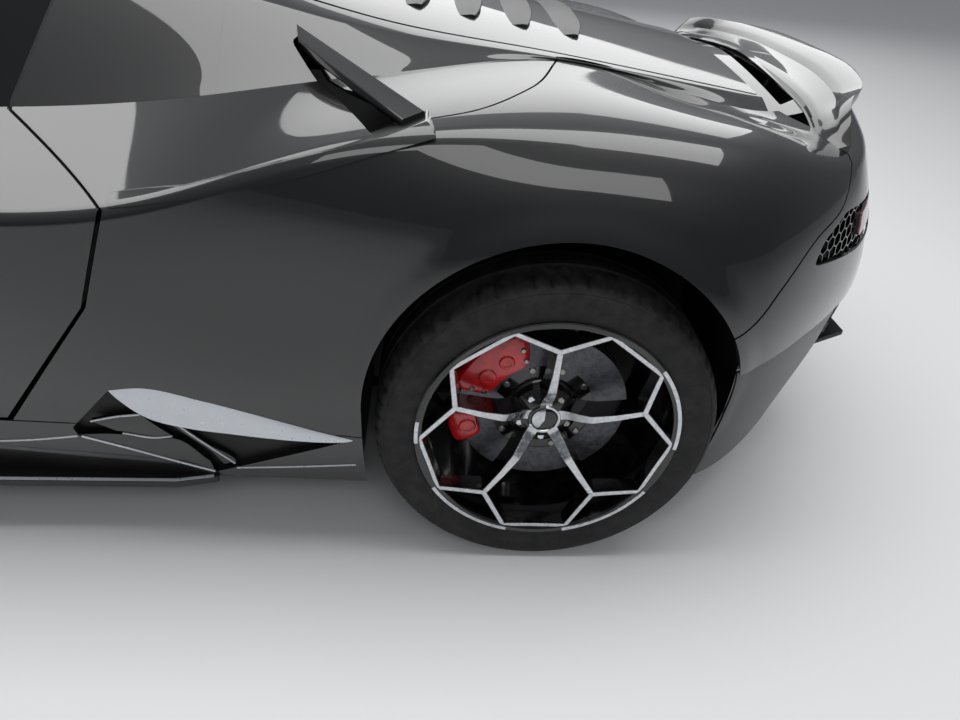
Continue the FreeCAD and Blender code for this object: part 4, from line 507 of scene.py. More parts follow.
def shell(grid, normals, thickness, depth=0.0):
    """A closed shell: (points, faces). Its outer face lies depth under the grid."""
    rows, columns = grid.shape[:2]
    outer = (grid - normals * depth).reshape(-1, 3)
    inner = (grid - normals * (depth + thickness)).reshape(-1, 3)
    n = len(outer)
    faces = grid_faces(rows, columns, 0)
    first = faces[0]
    a, b, c = (outer[k] for k in first[:3])
    turned = np.dot(np.cross(b - a, c - b), normals.reshape(-1, 3)[first[0]]) < 0
    faces = grid_faces(rows, columns, 0, turned) + grid_faces(rows, columns, n, not turned)
    rim = [(0, j) for j in range(columns)] + [(i, columns - 1) for i in range(1, rows)]
    rim += [(rows - 1, j) for j in range(columns - 2, -1, -1)] + [(i, 0) for i in range(rows - 2, 0, -1)]
    rim = [i * columns + j for i, j in rim]
    for p, q in zip(rim, rim[1:] + rim[:1]):
        quad = (p, q, q + n, p + n)
        faces.append(quad if turned else quad[::-1])
    return np.concatenate([outer, inner]), faces


def prism(points, axis, low, high):
    """An outline extruded along an axis: x takes (y, z) points, y takes (x, z) and z takes (x, y)."""
    order = {"x": (2, 0, 1), "y": (0, 2, 1), "z": (0, 1, 2)}[axis]
    n = len(points)
    spots = [(u, v, w) for w in (low, high) for u, v in points]
    verts = [tuple(spot[k] for k in order) for spot in spots]
    faces = [tuple(range(n))[::-1], tuple(range(n, 2 * n))]
    faces += [(i, (i + 1) % n, n + (i + 1) % n, n + i) for i in range(n)]
    return oriented(verts, faces)


def side_prism(points):
    """An (x, z) outline as a solid through the car's left side."""
    return prism(points, "y", 300, OUTSIDE_Y)


def plan_prism(points):
    """An (x, y) outline as a solid from the ground to above the roof."""
    return prism(points, "z", 0, OUTSIDE_Z)


def mirrored(solid):
    """A left-hand solid's mirror image on the right."""
    verts, faces = solid
    return np.asarray(verts) * (1, -1, 1), [list(f)[::-1] for f in faces]


def oriented(verts, faces):
    """The same solid with every face turned outward."""
    work = bmesh.new()
    made = [work.verts.new(v) for v in verts]
    for f in faces:
        work.faces.new([made[i] for i in f])
    bmesh.ops.recalc_face_normals(work, faces=work.faces)
    work.verts.index_update()
    out = [[v.index for v in f.verts] for f in work.faces]
    work.free()
    return np.array(verts, float), out


def ribbon(line, width, axis, low, high):
    """A slot that follows a line: its outline is the line widened both ways."""
    line = np.array(line, float)
    way = np.gradient(line, axis=0)
    side = np.stack([-way[:, 1], way[:, 0]], axis=1) / np.linalg.norm(way, axis=1, keepdims=True)
    outline = np.concatenate([line + side * width / 2, (line - side * width / 2)[::-1]])
    return prism([tuple(p) for p in outline], axis, low, high)


def arch_space(x, z, radius):
    """A wheel arch's space: round on top and straight to below the ground."""
    arc = [(x + radius * math.cos(a), z + radius * math.sin(a)) for a in np.linspace(0, math.pi, 96)]
    return prism([(x + radius, -60)] + arc + [(x - radius, -60)], "y", 500, OUTSIDE_Y)


def combined(base, tools, crossing=False):
    """The base solid after each (operation, solid) in turn: (points, faces). Crossing is for a base
    deep enough to meet itself where the skin turns."""
    subject = to_object("work_base", *base)
    spare = [subject]
    for operation, tool in tools:
        other = to_object("work_tool", *tool)
        spare.append(other)
        step = subject.modifiers.new("step", "BOOLEAN")
        step.operation, step.object, step.solver = operation, other, "EXACT"
        step.use_self = crossing
    bpy.context.view_layer.update()
    result = subject.evaluated_get(bpy.context.evaluated_depsgraph_get()).to_mesh()
    verts = np.array([v.co for v in result.vertices]).reshape(-1, 3) / MM
    faces = [list(p.vertices) for p in result.polygons]
    subject.to_mesh_clear()
    for o in spare:
        mesh = o.data
        bpy.data.objects.remove(o)
        bpy.data.meshes.remove(mesh)
    return verts, faces


class Skin:
    """A finished surface that trimmed panels take their normals from."""

    def __init__(self, grid, normals):
        self.points = grid.reshape(-1, 3)
        self.normals = normals.reshape(-1, 3)
        self.faces = grid_faces(*grid.shape[:2])
        self.tree = BVHTree.FromPolygons([tuple(p) for p in self.points], self.faces)

    def normal_at(self, point):
        where, _, index, distance = self.tree.find_nearest(Vector(point))
        corners = self.faces[index]
        weights = poly_3d_calc([Vector(self.points[i]) for i in corners], where)
        n = sum((self.normals[i] * w for i, w in zip(corners, weights)), np.zeros(3))
        return n / (np.linalg.norm(n) + 1e-9), distance


side_skin = Skin(side_grid, side_normal)
upper_skin = Skin(upper_grid, upper_normal)
bonnet_skin = Skin(bonnet_grid, bonnet_normal)


def corner_normals(verts, faces, skin, reach=0.8):
    """Normals for each face corner: the skin's where a face lies on it, and the face's own elsewhere."""
    found = {}
    out = []
    for f in faces:
        pts = verts[f]
        n = np.zeros(3)
        for a, b in zip(pts, np.roll(pts, -1, axis=0)):
            n += np.cross(a, b)
        n /= np.linalg.norm(n) + 1e-12
        near_skin = True
        for i in f:
            if i not in found:
                found[i] = skin.normal_at(verts[i])
            if found[i][1] > reach:
                near_skin = False
        centre_n = found[f[0]][0]
        facing = float(np.dot(n, centre_n))
        if near_skin and facing > 0.8:
            out.extend(tuple(found[i][0]) for i in f)
        elif facing < -0.8:
            out.extend(tuple(-found[i][0]) for i in f)
        else:
            out.extend(tuple(n) for _ in f)
    return out


def panel(name, body, nodes, solid, skin, material, mirror=True):
    """A trimmed panel as an object: on both sides of the car where mirror is set."""
    verts, faces = solid
    normals = corner_normals(verts, faces, skin)
    if mirror:
        n = len(verts)
        verts = np.concatenate([verts, verts * (1, -1, 1)])
        other = []
        start = 0
        for f in faces:
            other.extend((a, -b, c) for a, b, c in normals[start:start + len(f)][::-1])
            start += len(f)
        faces = faces + [[i + n for i in f][::-1] for f in faces]
        normals = normals + other
    made = to_object(name, verts, faces, material, normals)
    return placed(made, body, nodes)


def placed(made, body, nodes=()):
    """The object on its body, in place of those nodes."""
    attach(made, body)
    if nodes:
        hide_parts(*nodes)
    return made


def side_blank(x_ahead, x_behind, thickness, first=0, last=None, depth=0.0):
    """A shell of the body side between two x, from one hoop row to another."""
    a, b = max(side_column(x_ahead) - 2, 0), min(side_column(x_behind) + 3, len(side_grid))
    rows = slice(first, (BELT_ROW if last is None else last) + 1)
    return shell(side_grid[a:b, rows], side_normal[a:b, rows], thickness, depth)


def upper_blank(x_ahead, x_behind, thickness, depth=0.0, first=0, last=None):
    """A shell of the roof and deck between two x, across those columns of its grid."""
    xs = upper_grid[:, 0, 0]
    a = max(int(np.argmin(np.abs(xs - x_ahead))) - 2, 0)
    b = min(int(np.argmin(np.abs(xs - x_behind))) + 3, len(xs))
    columns = slice(first, last)
    return shell(upper_grid[a:b, columns], upper_normal[a:b, columns], thickness, depth)


def across(half):
    """A left-hand (x, y) line joined to its mirror image."""
    return half + [(x, -y) for x, y in reversed(half)]


def shifted(line, dx):
    """An (x, z) line moved along x."""
    return [(x + dx, z) for x, z in line]


def revolve(profile, count):
    """A ring from a closed profile of (radius, y) corners turned round Y: (points, faces)."""
    profile = np.array(profile, float)
    n = len(profile)
    angles = np.arange(count) * 2 * math.pi / count
    verts = [(r * math.sin(a), y, r * math.cos(a)) for a in angles for r, y in profile]
    faces = []
    for i in range(count):
        for j in range(n):
            a, b = i * n + j, i * n + (j + 1) % n
            c, d = (i + 1) % count * n + (j + 1) % n, (i + 1) % count * n + j
            faces.append((a, b, c, d))
    return oriented(verts, faces)


def cylinder(centre, axis, radius, reach, count=24, bevel=0.0):
    """A rod from centre along an axis, its far rim chamfered."""
    axis = Vector(axis).normalized()
    u = axis.orthogonal().normalized()
    v = axis.cross(u)
    rings = [(0, radius), (reach, radius)]
    if bevel:
        rings = [(0, radius), (reach - bevel, radius), (reach, radius - bevel)]
    return loft([
        [tuple(Vector(centre) + axis * along_axis + u * (r * math.cos(a)) + v * (r * math.sin(a)))
         for a in np.arange(count) * 2 * math.pi / count]
        for along_axis, r in rings
    ])


def tube(line, radius, count=10):
    """A round bar along a line of points."""
    line = np.array(line, float)
    way = np.gradient(line, axis=0)
    rings = []
    for p, w in zip(line, way):
        w = Vector(w).normalized()
        u = w.cross(Vector((0.12, 0.31, 0.94))).normalized()
        v = w.cross(u)
        rings.append([tuple(Vector(p) + (u * math.cos(a) + v * math.sin(a)) * radius)
                      for a in np.arange(count) * 2 * math.pi / count])
    return loft(rings)


def rounded_box(low, high, radius, segments=2):
    """A box with rounded edges."""
    work = bmesh.new()
    bmesh.ops.create_cube(work, size=1.0)
    low, high = np.array(low, float), np.array(high, float)
    for vert in work.verts:
        vert.co = Vector((low + high) / 2 + np.array(vert.co) * (high - low))
    bmesh.ops.bevel(work, geom=list(work.edges), offset=radius, segments=segments, profile=0.5,
                    affect="EDGES")
    work.verts.index_update()
    verts = np.array([v.co for v in work.verts])
    faces = [[v.index for v in f.verts] for f in work.faces]
    work.free()
    return verts, faces


def put_together(name, groups, place, mirror, body, nodes=(), smooth=32):
    """One object from (points, faces, material) groups, placed in the car."""
    verts, faces, materials, index = [], [], [], []
    start = 0
    for v, f, material in groups:
        v = np.asarray(v, float)
        verts.append(v)
        faces += [[i + start for i in face] for face in f]
        if material not in materials:
            materials.append(material)
        index += [materials.index(material)] * len(f)
        start += len(v)
    verts = np.concatenate(verts) + np.array(place, float)
    if mirror:
        verts = verts * (1, -1, 1)
        faces = [f[::-1] for f in faces]
    made = to_object(name, verts, faces, materials, smooth_angle=smooth)
    made.data.polygons.foreach_set("material_index", index)
    return placed(made, body, nodes)


def both_sides(groups):
    """Left-hand groups with their mirror images."""
    return groups + [(*mirrored((v, faces)), m) for v, faces, m in groups]


def on_side(x, z, lift=0.0):
    """The point of the left side at (x, z), raised off the skin by lift."""
    where = side_skin.tree.ray_cast(Vector((x, 1500, z)), Vector((0, -1, 0)))[0]
    return np.array(where) + side_skin.normal_at(where)[0] * lift


def on_end(y, z, depth, from_x):
    """The point of the nose or tail at (y, z), that deep behind the skin, seen from that x."""
    way = -1 if from_x > 0 else 1
    where = side_skin.tree.ray_cast(Vector((from_x, max(abs(y), 0.5), z)), Vector((way, 0, 0)))[0]
    if where is None:
        return None
    return np.array([where[0] + way * depth, y, z])


def evenly(knots, count):
    """That many evenly spaced points on a smooth curve through the knots."""
    line = smooth_line(knots, 12)
    run = np.concatenate([[0], np.cumsum(np.linalg.norm(np.diff(line, axis=0), axis=1))])
    at = np.linspace(0, run[-1], count)
    return np.stack([np.interp(at, run, line[:, k]) for k in range(line.shape[1])], axis=1)


def rounded(points, radius, steps=4):
    """A closed outline with its corners rounded off."""
    points = [np.array(p, float) for p in points]
    out = []
    for before, here, after in zip(points[-1:] + points[:-1], points, points[1:] + points[:1]):
        back, on = before - here, after - here
        reach = min(radius, np.linalg.norm(back) / 2.2, np.linalg.norm(on) / 2.2)
        a, b = here + back / np.linalg.norm(back) * reach, here + on / np.linalg.norm(on) * reach
        out += [(1 - t) ** 2 * a + 2 * t * (1 - t) * here + t * t * b for t in np.linspace(0, 1, steps)]
    return [tuple(p) for p in out]


def loft(outlines, loop=False):
    """A solid through closed outlines of as many points: (points, faces). A loop joins the last
    outline to the first."""
    n, m = len(outlines[0]), len(outlines)
    verts = [tuple(p) for outline in outlines for p in outline]
    faces = []
    for k in range(m if loop else m - 1):
        for j in range(n):
            a, b, up = k * n + j, k * n + (j + 1) % n, (k + 1) % m * n - k * n
            faces.append((a, b, b + up, a + up))
    if not loop:
        faces += [tuple(range(n)), tuple((m - 1) * n + j for j in range(n))]
    return oriented(verts, faces)


def joined(*parts):
    """Several (points, faces) as one."""
    verts, faces, start = [], [], 0
    for v, f in parts:
        verts.append(np.asarray(v, float))
        faces += [[i + start for i in face] for face in f]
        start += len(v)
    return np.concatenate(verts), faces


def piece(name, body, solid, material, nodes=(), both=False, smooth=35):
    """A solid as an object of its own on a body, with its mirror image where both is set."""
    verts, faces = joined(solid, mirrored(solid)) if both else solid
    return placed(to_object(name, verts, faces, material, smooth_angle=smooth), body, nodes)


def on_both(tool):
    """Cuts away a left-hand tool and its mirror image."""
    return [("DIFFERENCE", tool), ("DIFFERENCE", mirrored(tool))]


def pulled_in(points, distance):
    """A closed outline with every edge moved in by that distance."""
    pts = np.array(points, float)
    area = np.sum(pts[:, 0] * np.roll(pts[:, 1], -1) - np.roll(pts[:, 0], -1) * pts[:, 1])
    turn = 1 if area > 0 else -1
    out = []
    for before, here, after in zip(np.roll(pts, 1, axis=0), pts, np.roll(pts, -1, axis=0)):
        n = []
        for a, b in ((before, here), (here, after)):
            d = b - a
            d = d / (np.linalg.norm(d) + 1e-9)
            n.append(np.array([-d[1], d[0]]) * turn)
        m = (n[0] + n[1]) / 2
        out.append(tuple(here + m * distance / max(np.dot(m, m), 0.2)))
    return out


PAINT_SKIN = 4
HALF_SEAM = SEAM / 2
ORIGIN = (0, 0, 0)
front_arch = arch_space(*FRONT_ARCH)
rear_arch = arch_space(*REAR_ARCH)

# Quarter panels: side skin behind the door, over the arch and back to the bumper, with the
# intake's pocket, the upper slot and the joint to the deck cut in
bumper_edge = [tuple(p) for p in smooth_line(BUMPER_LINE, 6)]
SLOT_PLAN = [(-822, 576), (-899, 668), (-994, 880), (-1040, 868), (-1054, 848), (-842, 560)]
INTAKE_SIDE = [(-508, 420), (-412, 312), (-414, 286), (-652, 164), (-704, 188),
               (-948, 311), (-794, 370), (-677, 405), (-564, 430)]
upper_slot = prism(rounded(SLOT_PLAN, 14), "z", 780, OUTSIDE_Z)
intake_space = prism(rounded(INTAKE_SIDE, 7), "y", 500, OUTSIDE_Y)
JOINT_PLAN = [(-1044, 848), (-1165, 804), (-1261, 696), (-1340, 482)]
deck_joint = ribbon(evenly(JOINT_PLAN, 40), 4.4, "z", 700, 1300)
quarter_outline = side_prism(
    [(x + HALF_SEAM, z + HALF_SEAM) for x, z in bumper_edge]
    + [(BUMPER_LINE[-1][0] + HALF_SEAM, ABOVE_SIDES), (GLASS_FOOT_X, ABOVE_SIDES)]
    + DOOR_REAR_LINE[::-1][:-1]
    + [(DOOR_FOOT_X, SILL_TOP + HALF_SEAM), (REAR_X, SILL_TOP + HALF_SEAM),
       (REAR_X, BUMPER_LINE[0][1] + HALF_SEAM)])
quarter = combined(side_blank(-250, -1990, PAINT_SKIN), [
    ("INTERSECT", quarter_outline), ("DIFFERENCE", rear_arch), ("DIFFERENCE", upper_slot),
    ("DIFFERENCE", intake_space),
    ("DIFFERENCE", deck_joint),
])
panel("quarter_panel_skins", "chassis", ["quarter_panels"], quarter, side_skin, paint)

# Shoulder strip: a blade of bodywork that leaves the door's corner flush and ends standing proud
STRIP_SIDE = [(-577, 777), (-748, 808), (-893, 848), (-1003, 885), (-1098, 913),
              (-1083, 930), (-987, 903), (-845, 863), (-697, 816), (-572, 792)]
columns = slice(side_column(-540), side_column(-1130))
strip_base = side_grid[columns, FLANK_ROW:BELT_ROW + 1]
proud = np.interp(-strip_base[..., 0], [571, 990, 1098], [0.6, 9, 11.5])
strip_grid = strip_base + side_normal[columns, FLANK_ROW:BELT_ROW + 1] * proud[..., None]
strip_normal = -normals_of(strip_grid)
strip_skin = Skin(strip_grid, strip_normal)
strip_outline = prism(rounded(STRIP_SIDE, 5), "y", 500, OUTSIDE_Y)
strip = combined(shell(strip_grid, strip_normal, 13), [("INTERSECT", strip_outline)])
panel("shoulder_strips", "chassis", [], strip, strip_skin, paint)

# Upper intakes: a straight blade over each slot, and the slot's floor
BLADE_ENDS = [((-837, 584, 984), (-830, 551, 1008)), ((-1039, 859, 926), (-1077, 831, 936))]
BLADE_FRONT, BLADE_REAR = 14, 46
blade_bar = loft([
    rounded([f, b, b - (0, 0, BLADE_REAR), f - (0, 0, BLADE_FRONT)], 5)
    for f, b in (map(np.array, end) for end in BLADE_ENDS)
])
piece("upper_intake_blades", "chassis", blade_bar, paint, both=True)
piece("upper_intake_floors", "chassis", prism(pulled_in(SLOT_PLAN, -18), "z", 838, 842), grained,
      both=True)

# Side intakes: a pocket with fins
POCKET = 18
pocket_void = combined(side_blank(-250, -1100, POCKET + 7, 0, FLANK_ROW, -6), [("INTERSECT", intake_space)])
pocket = combined(side_blank(-250, -1100, POCKET + 3, 0, FLANK_ROW, 1), [
    ("INTERSECT", prism(pulled_in(INTAKE_SIDE, -9), "y", 500, OUTSIDE_Y)), ("DIFFERENCE", pocket_void),
])
piece("side_intake_pockets", "chassis", pocket, grained, both=True)


def lofted_fin(upper_edge, lower_edge, lift, thickness, columns=44, rows=9):
    """A fin over the side between two (x, z) edges, raised off it by lift(share along, share down)."""
    top, foot = evenly(upper_edge, columns), evenly(lower_edge, columns)
    grid = np.array([
        [on_side(*(t + (b - t) * v), lift(u, v)) for v in np.linspace(0, 1, rows)]
        for u, t, b in zip(np.linspace(0, 1, columns), top, foot)
    ])
    return shell(grid, turned_out(normals_of(grid), 1), thickness)


def to_a_point(u):
    """1 along a fin, falling to 0 at both ends."""
    return (1 - abs(2 * u - 1) ** 3) ** 0.7


# The wing fin is made pale as a painted reflection of the sky on its top
wing_fin = lofted_fin(
    [(-509, 421), (-564, 430), (-677, 405), (-794, 369), (-955, 314)],
    [(-512, 414), (-576, 363), (-646, 345), (-727, 336), (-842, 323), (-951, 310)],
    lambda u, v: 0.8 + 15 * v ** 0.8 * to_a_point(u), 7)
leaf_fin = lofted_fin([(-452, 332), (-505, 349), (-551, 358)], [(-500, 292), (-559, 282), (-595, 290)],
                      lambda u, v: -3 - 3 * v, 8, 16, 7)
blade_fin = lofted_fin([(-418, 287), (-495, 293), (-560, 281), (-598, 287), (-652, 206)],
                       [(-420, 284), (-500, 247), (-560, 216), (-610, 190), (-655, 168)],
                       lambda u, v: -2 + 1.5 * v, 12, 30, 7)
strut_fin = lofted_fin([(-582, 359), (-622, 296), (-662, 232), (-676, 183)],
                       [(-603, 345), (-650, 272), (-700, 193), (-690, 184)],
                       lambda u, v: -7.5, 8, 20, 5)
# Pale tubes along the fins' edges: painted highlights where the edges catch the light
FIN_EDGE_HIGHLIGHTS = [  # (x, z) line, lift off the side
    ([(-420, 284), (-500, 247), (-560, 216), (-610, 190), (-655, 168)], 0.5),
    ([(-452, 332), (-505, 349), (-551, 358)], -2.0),
    ([(-500, 292), (-559, 282), (-595, 290)], -5.0),
    ([(-603, 345), (-650, 272), (-700, 193)], -6.5),
]
fin_edge_highlights = [
    (*tube([on_side(x, z, lift) for x, z in evenly(line, 26)], 2.0, 8), pale_trim_and_highlight) for line, lift in FIN_EDGE_HIGHLIGHTS
]
put_together("side_vane_fins", both_sides([
    (*wing_fin, pale_trim_and_highlight), (*blade_fin, piano), (*leaf_fin, piano), (*strut_fin, piano),
] + fin_edge_highlights), ORIGIN, False, "chassis", ["side_vanes"], 40)

# Front wings
wing_outline = side_prism([
    (NOSE_JOINT_X - HALF_SEAM, SILL_TOP + HALF_SEAM), (NOSE_JOINT_X - HALF_SEAM, ABOVE_SIDES),
    (DOOR_FRONT_X + PANEL_GAP, ABOVE_SIDES), (DOOR_FRONT_X + PANEL_GAP, SILL_TOP + HALF_SEAM),
])
wing = combined(side_blank(1700, 840, PAINT_SKIN), [("INTERSECT", wing_outline), ("DIFFERENCE", front_arch)])
panel("front_wing_skins", "chassis", ["front_wings"], wing, side_skin, paint)

# Sills, with a thin blade along their foot whose edge carries a pale strip, a painted highlight where the
# edge catches the light
sill_outline = side_prism([
    (FRONT_X, 0), (FRONT_X, SILL_TOP - HALF_SEAM), (REAR_X, SILL_TOP - HALF_SEAM), (REAR_X, 0),
])
sill = combined(side_blank(FRONT_X, REAR_X, PAINT_SKIN, 0, LOW_ROW + 2), [
    ("INTERSECT", sill_outline), ("DIFFERENCE", front_arch), ("DIFFERENCE", rear_arch),
    ("DIFFERENCE", intake_space),
])
panel("sill_skins", "chassis", ["sills"], sill, side_skin, paint)
SILL_BLADE = [(860, 832), (810, 900), (160, 900), (-580, 890), (-665, 870), (-640, 832)]
piece("sill_blades", "chassis", prism(rounded(SILL_BLADE, 14), "z", 139, 154), satin,
      both=True, smooth=30)
# The pale strip on the blade's outer edge is a painted highlight
BLADE_HIGHLIGHT_EDGE = [(812, 893), (480, 894), (160, 894), (-200, 889.5), (-578, 884), (-650, 868.5)]
blade_highlight_strip = ribbon(BLADE_HIGHLIGHT_EDGE, 8, "z", 154, 155)
piece("sill_blade_edges", "chassis", blade_highlight_strip, pale_trim_and_highlight, both=True)

# Painted highlights along the sill: pale strips where its edges catch the light, one under the door, and one
# from the intake back to the wheel
SILL_HIGHLIGHT_LINES = [[(850, 243), (200, 244), (-180, 247), (-320, 264), (-412, 284)],
              [(-704, 186), (-820, 200), (-955, 220)]]
for name, line in zip(("sill_door_lines", "sill_rear_lines"), SILL_HIGHLIGHT_LINES):
    bright = combined(side_blank(line[0][0] + 30, line[-1][0] - 30, 3, 0, LOW_ROW + 4, -1.2),
                      [("INTERSECT", ribbon(evenly(line, 60), 5, "y", 300, OUTSIDE_Y))])
    piece(name, "chassis", bright, pale_trim_and_highlight, both=True)

# Front splitter: a thin blade round the nose's foot
nose_columns = slice(0, side_column(1705))
foot_out = side_grid[nose_columns, LOW_ROW, :2] - side_normal[nose_columns, LOW_ROW, :2] * 16
foot_in = side_grid[nose_columns, 0, :2] - side_normal[nose_columns, LOW_ROW, :2] * 70
foot_out[0, 1] = foot_in[0, 1] = 0.5
splitter = prism([tuple(p) for p in foot_out[::2]] + [tuple(p) for p in foot_in[::-2]], "z", 112, 121)
piece("front_splitter", "chassis", splitter, satin, both=True)

# Doors
door_outline = side_prism(
    [(DOOR_FRONT_X - 2, SILL_TOP + PANEL_GAP), (DOOR_FRONT_X - 2, ABOVE_SIDES),
     (GLASS_FOOT_X + PANEL_GAP, ABOVE_SIDES)]
    + shifted(DOOR_REAR_LINE[::-1], PANEL_GAP)[:-1] + [(DOOR_FOOT_X + PANEL_GAP, SILL_TOP + PANEL_GAP)])
door_left = combined(side_blank(900, -600, PAINT_SKIN), [("INTERSECT", door_outline)])
DOOR_EDGE = 5
door_core_outline = [
    (DOOR_FRONT_X - 2 - DOOR_EDGE, SILL_TOP + PANEL_GAP + DOOR_EDGE), (DOOR_FRONT_X - 2 - DOOR_EDGE, 760),
    (-520, 760), (-571 + PANEL_GAP + 18, 740), (-511 + PANEL_GAP + DOOR_EDGE, 600),
    (DOOR_FOOT_X + PANEL_GAP + DOOR_EDGE, SILL_TOP + PANEL_GAP + DOOR_EDGE),
]
door_core = combined(side_blank(900, -600, 52, LOW_ROW - 3, SHOULDER_ROW, PAINT_SKIN + 1.5),
                     [("INTERSECT", side_prism(door_core_outline))])
right_skin = Skin(side_grid * (1, -1, 1), side_normal * (1, -1, 1))
panel("door_skin_left", "door_left", ["door_left"], door_left, side_skin, paint, False)
panel("door_skin_right", "door_right", ["door_right"], mirrored(door_left), right_skin, paint, False)
for side, core in (("left", door_core), ("right", mirrored(door_core))):
    placed(to_object(f"door_trim_{side}", *core, leather, smooth_angle=35), f"door_{side}")

# Door handles: flush flaps in the shoulder
handle = combined(side_blank(-150, -350, 4, FLANK_ROW, BELT_ROW, -1.0),
                  [("INTERSECT", ribbon(evenly([(-190, 736), (-312, 741)], 12), 15, "y", 300, OUTSIDE_Y))])
for side, solid in (("left", handle), ("right", mirrored(handle))):
    placed(to_object(f"door_handle_{side}", *solid, piano, smooth_angle=35), f"door_{side}")

# Front bumper, with its two intakes and the lamps' openings
FRONT_INTAKE = [(260, 180), (330, 360), (772, 400), (822, 280), (712, 180)]
HEADLAMP_PLAN = [(2040, 662), (1955, 812), (1675, 892), (1665, 812), (1965, 622)]
front_intake = prism(rounded(FRONT_INTAKE, 26), "x", 1660, 2290)
headlamp_hole = prism(rounded(HEADLAMP_PLAN, 10), "z", 470, OUTSIDE_Z)
nose_zone = [(NOSE_JOINT_X + HALF_SEAM, 0), (2300, 0), (2300, 1000), (NOSE_JOINT_X + HALF_SEAM, 1000)]
bumper_front = combined(side_blank(NOSE_X, 1640, PAINT_SKIN), [
    ("INTERSECT", prism(nose_zone, "y", -20, OUTSIDE_Y)),
    ("DIFFERENCE", front_arch), ("DIFFERENCE", front_intake), ("DIFFERENCE", headlamp_hole),
])
panel("front_bumper_skin", "chassis", ["front_bumper"], bumper_front, side_skin, paint)

# Rear bumper, from the line behind the arch round to the tail, with its vent, fascia and lamps
BUMPER_FOOT = [(-1340, 498), (-1703, 504), (-1848, 539), (-1980, 546)]
CORNER_VENT = [(-1810, 700), (-1980, 672), (-2085, 668), (-2085, 750), (-1900, 772), (-1830, 740)]
FASCIA = [(-560, 385), (-620, 665), (620, 665), (560, 385)]
TAIL_LAMP = [(330, 690), (345, 735), (662, 740), (687, 695)]
TAIL_CUT = (-2305, -1900)  # x of the tools that cut the tail
FOOT_REAR_Z = BUMPER_FOOT[-1][1]
bumper_zone = prism(
    [(REAR_X, BUMPER_LINE[0][1] - HALF_SEAM)] + [(x - HALF_SEAM, z - HALF_SEAM) for x, z in bumper_edge]
    + [(BUMPER_LINE[-1][0] - HALF_SEAM, 1000), (-2355, 1000), (-2355, FOOT_REAR_Z + HALF_SEAM)]
    + [(x, z + HALF_SEAM) for x, z in BUMPER_FOOT[::-1]],
    "y", -20, OUTSIDE_Y)
fascia_hole = prism(rounded(FASCIA, 18), "x", *TAIL_CUT)
lamp_hole = prism(rounded(TAIL_LAMP, 8), "x", *TAIL_CUT)
bumper_rear = combined(side_blank(REAR_X, TAIL_X, PAINT_SKIN), [
    ("DIFFERENCE", rear_arch), ("INTERSECT", bumper_zone), ("DIFFERENCE", fascia_hole),
    ("DIFFERENCE", lamp_hole),
    ("DIFFERENCE", prism(rounded(CORNER_VENT, 14), "y", 552, OUTSIDE_Y)),
])
panel("rear_bumper_skin", "chassis", ["rear_bumper"], bumper_rear, side_skin, paint)

# Cheeks of the diffuser: a satin layer that steps in below the bumper
CHEEK_DEPTH = 12
cheek_skin = Skin(side_grid - side_normal * CHEEK_DEPTH, side_normal)
cheek_zone = prism(
    [(x, z - HALF_SEAM) for x, z in BUMPER_FOOT]
    + [(-2355, FOOT_REAR_Z - HALF_SEAM), (-2355, 150), (REAR_X, 150)],
    "y", 470, OUTSIDE_Y)
cheek = combined(side_blank(REAR_X, TAIL_X, 6, 0, FLANK_ROW, CHEEK_DEPTH), [
    ("INTERSECT", cheek_zone), ("DIFFERENCE", rear_arch),
    ("DIFFERENCE", prism([(0, 300), (0, 900), (606, 900), (566, 300)], "x", *TAIL_CUT)),
])
panel("diffuser_cheek_skins", "chassis", ["diffuser_cheeks"], cheek, cheek_skin, satin)


# Honeycomb meshes in the openings

def within(point, outline):
    """Whether a plane point lies inside an outline."""
    u, v = point
    hit = False
    for (au, av), (bu, bv) in zip(outline, outline[1:] + outline[:1]):
        if (av > v) != (bv > v) and u < (bu - au) * (v - av) / (bv - av) + au:
            hit = not hit
    return hit


def honeycomb(outline, place, cell=24.0, bar=2.6, near=9.0, far=21.0, holes=()):
    """Bars round six-sided cells over a plane outline, clear of round holes (u, v, radius).
    place(u, v, depth) gives a point, or None off the skin."""
    side = cell / math.sqrt(3)
    low, high = np.min(outline, axis=0) - cell, np.max(outline, axis=0) + cell
    section = ((1, near), (-1, near), (-1, far), (1, far))
    turns = np.radians(np.arange(30, 390, 60))
    edges = {}
    for j in range(int((high[1] - low[1]) / (1.5 * side)) + 2):
        for i in range(int((high[0] - low[0]) / cell) + 2):
            middle = low + (cell * (i + 0.5 * (j % 2)), 1.5 * side * j)
            corners = [middle + side * np.array([math.cos(a), math.sin(a)]) for a in turns]
            for p, q in zip(corners, corners[1:] + corners[:1]):
                ends = frozenset(tuple(np.round(end).astype(int)) for end in (p, q))
                edges.setdefault(ends, (p, q))
    verts, faces = [], []
    for p, q in edges.values():
        if not (within(p, outline) and within(q, outline)):
            continue
        if any(math.hypot(end[0] - u, end[1] - v) < r for end in (p, q) for u, v, r in holes):
            continue
        way = (q - p) / np.linalg.norm(q - p)
        wide = np.array([-way[1], way[0]]) * bar / 2
        spots = [place(*(end + s * wide), depth) for end in (p, q) for s, depth in section]
        if any(s is None for s in spots):
            continue
        n = len(verts)
        verts += spots
        faces += [(n + j, n + (j + 1) % 4, n + 4 + (j + 1) % 4, n + 4 + j) for j in range(4)]
        faces += [(n, n + 1, n + 2, n + 3), (n + 4, n + 5, n + 6, n + 7)]
    return oriented(verts, faces)


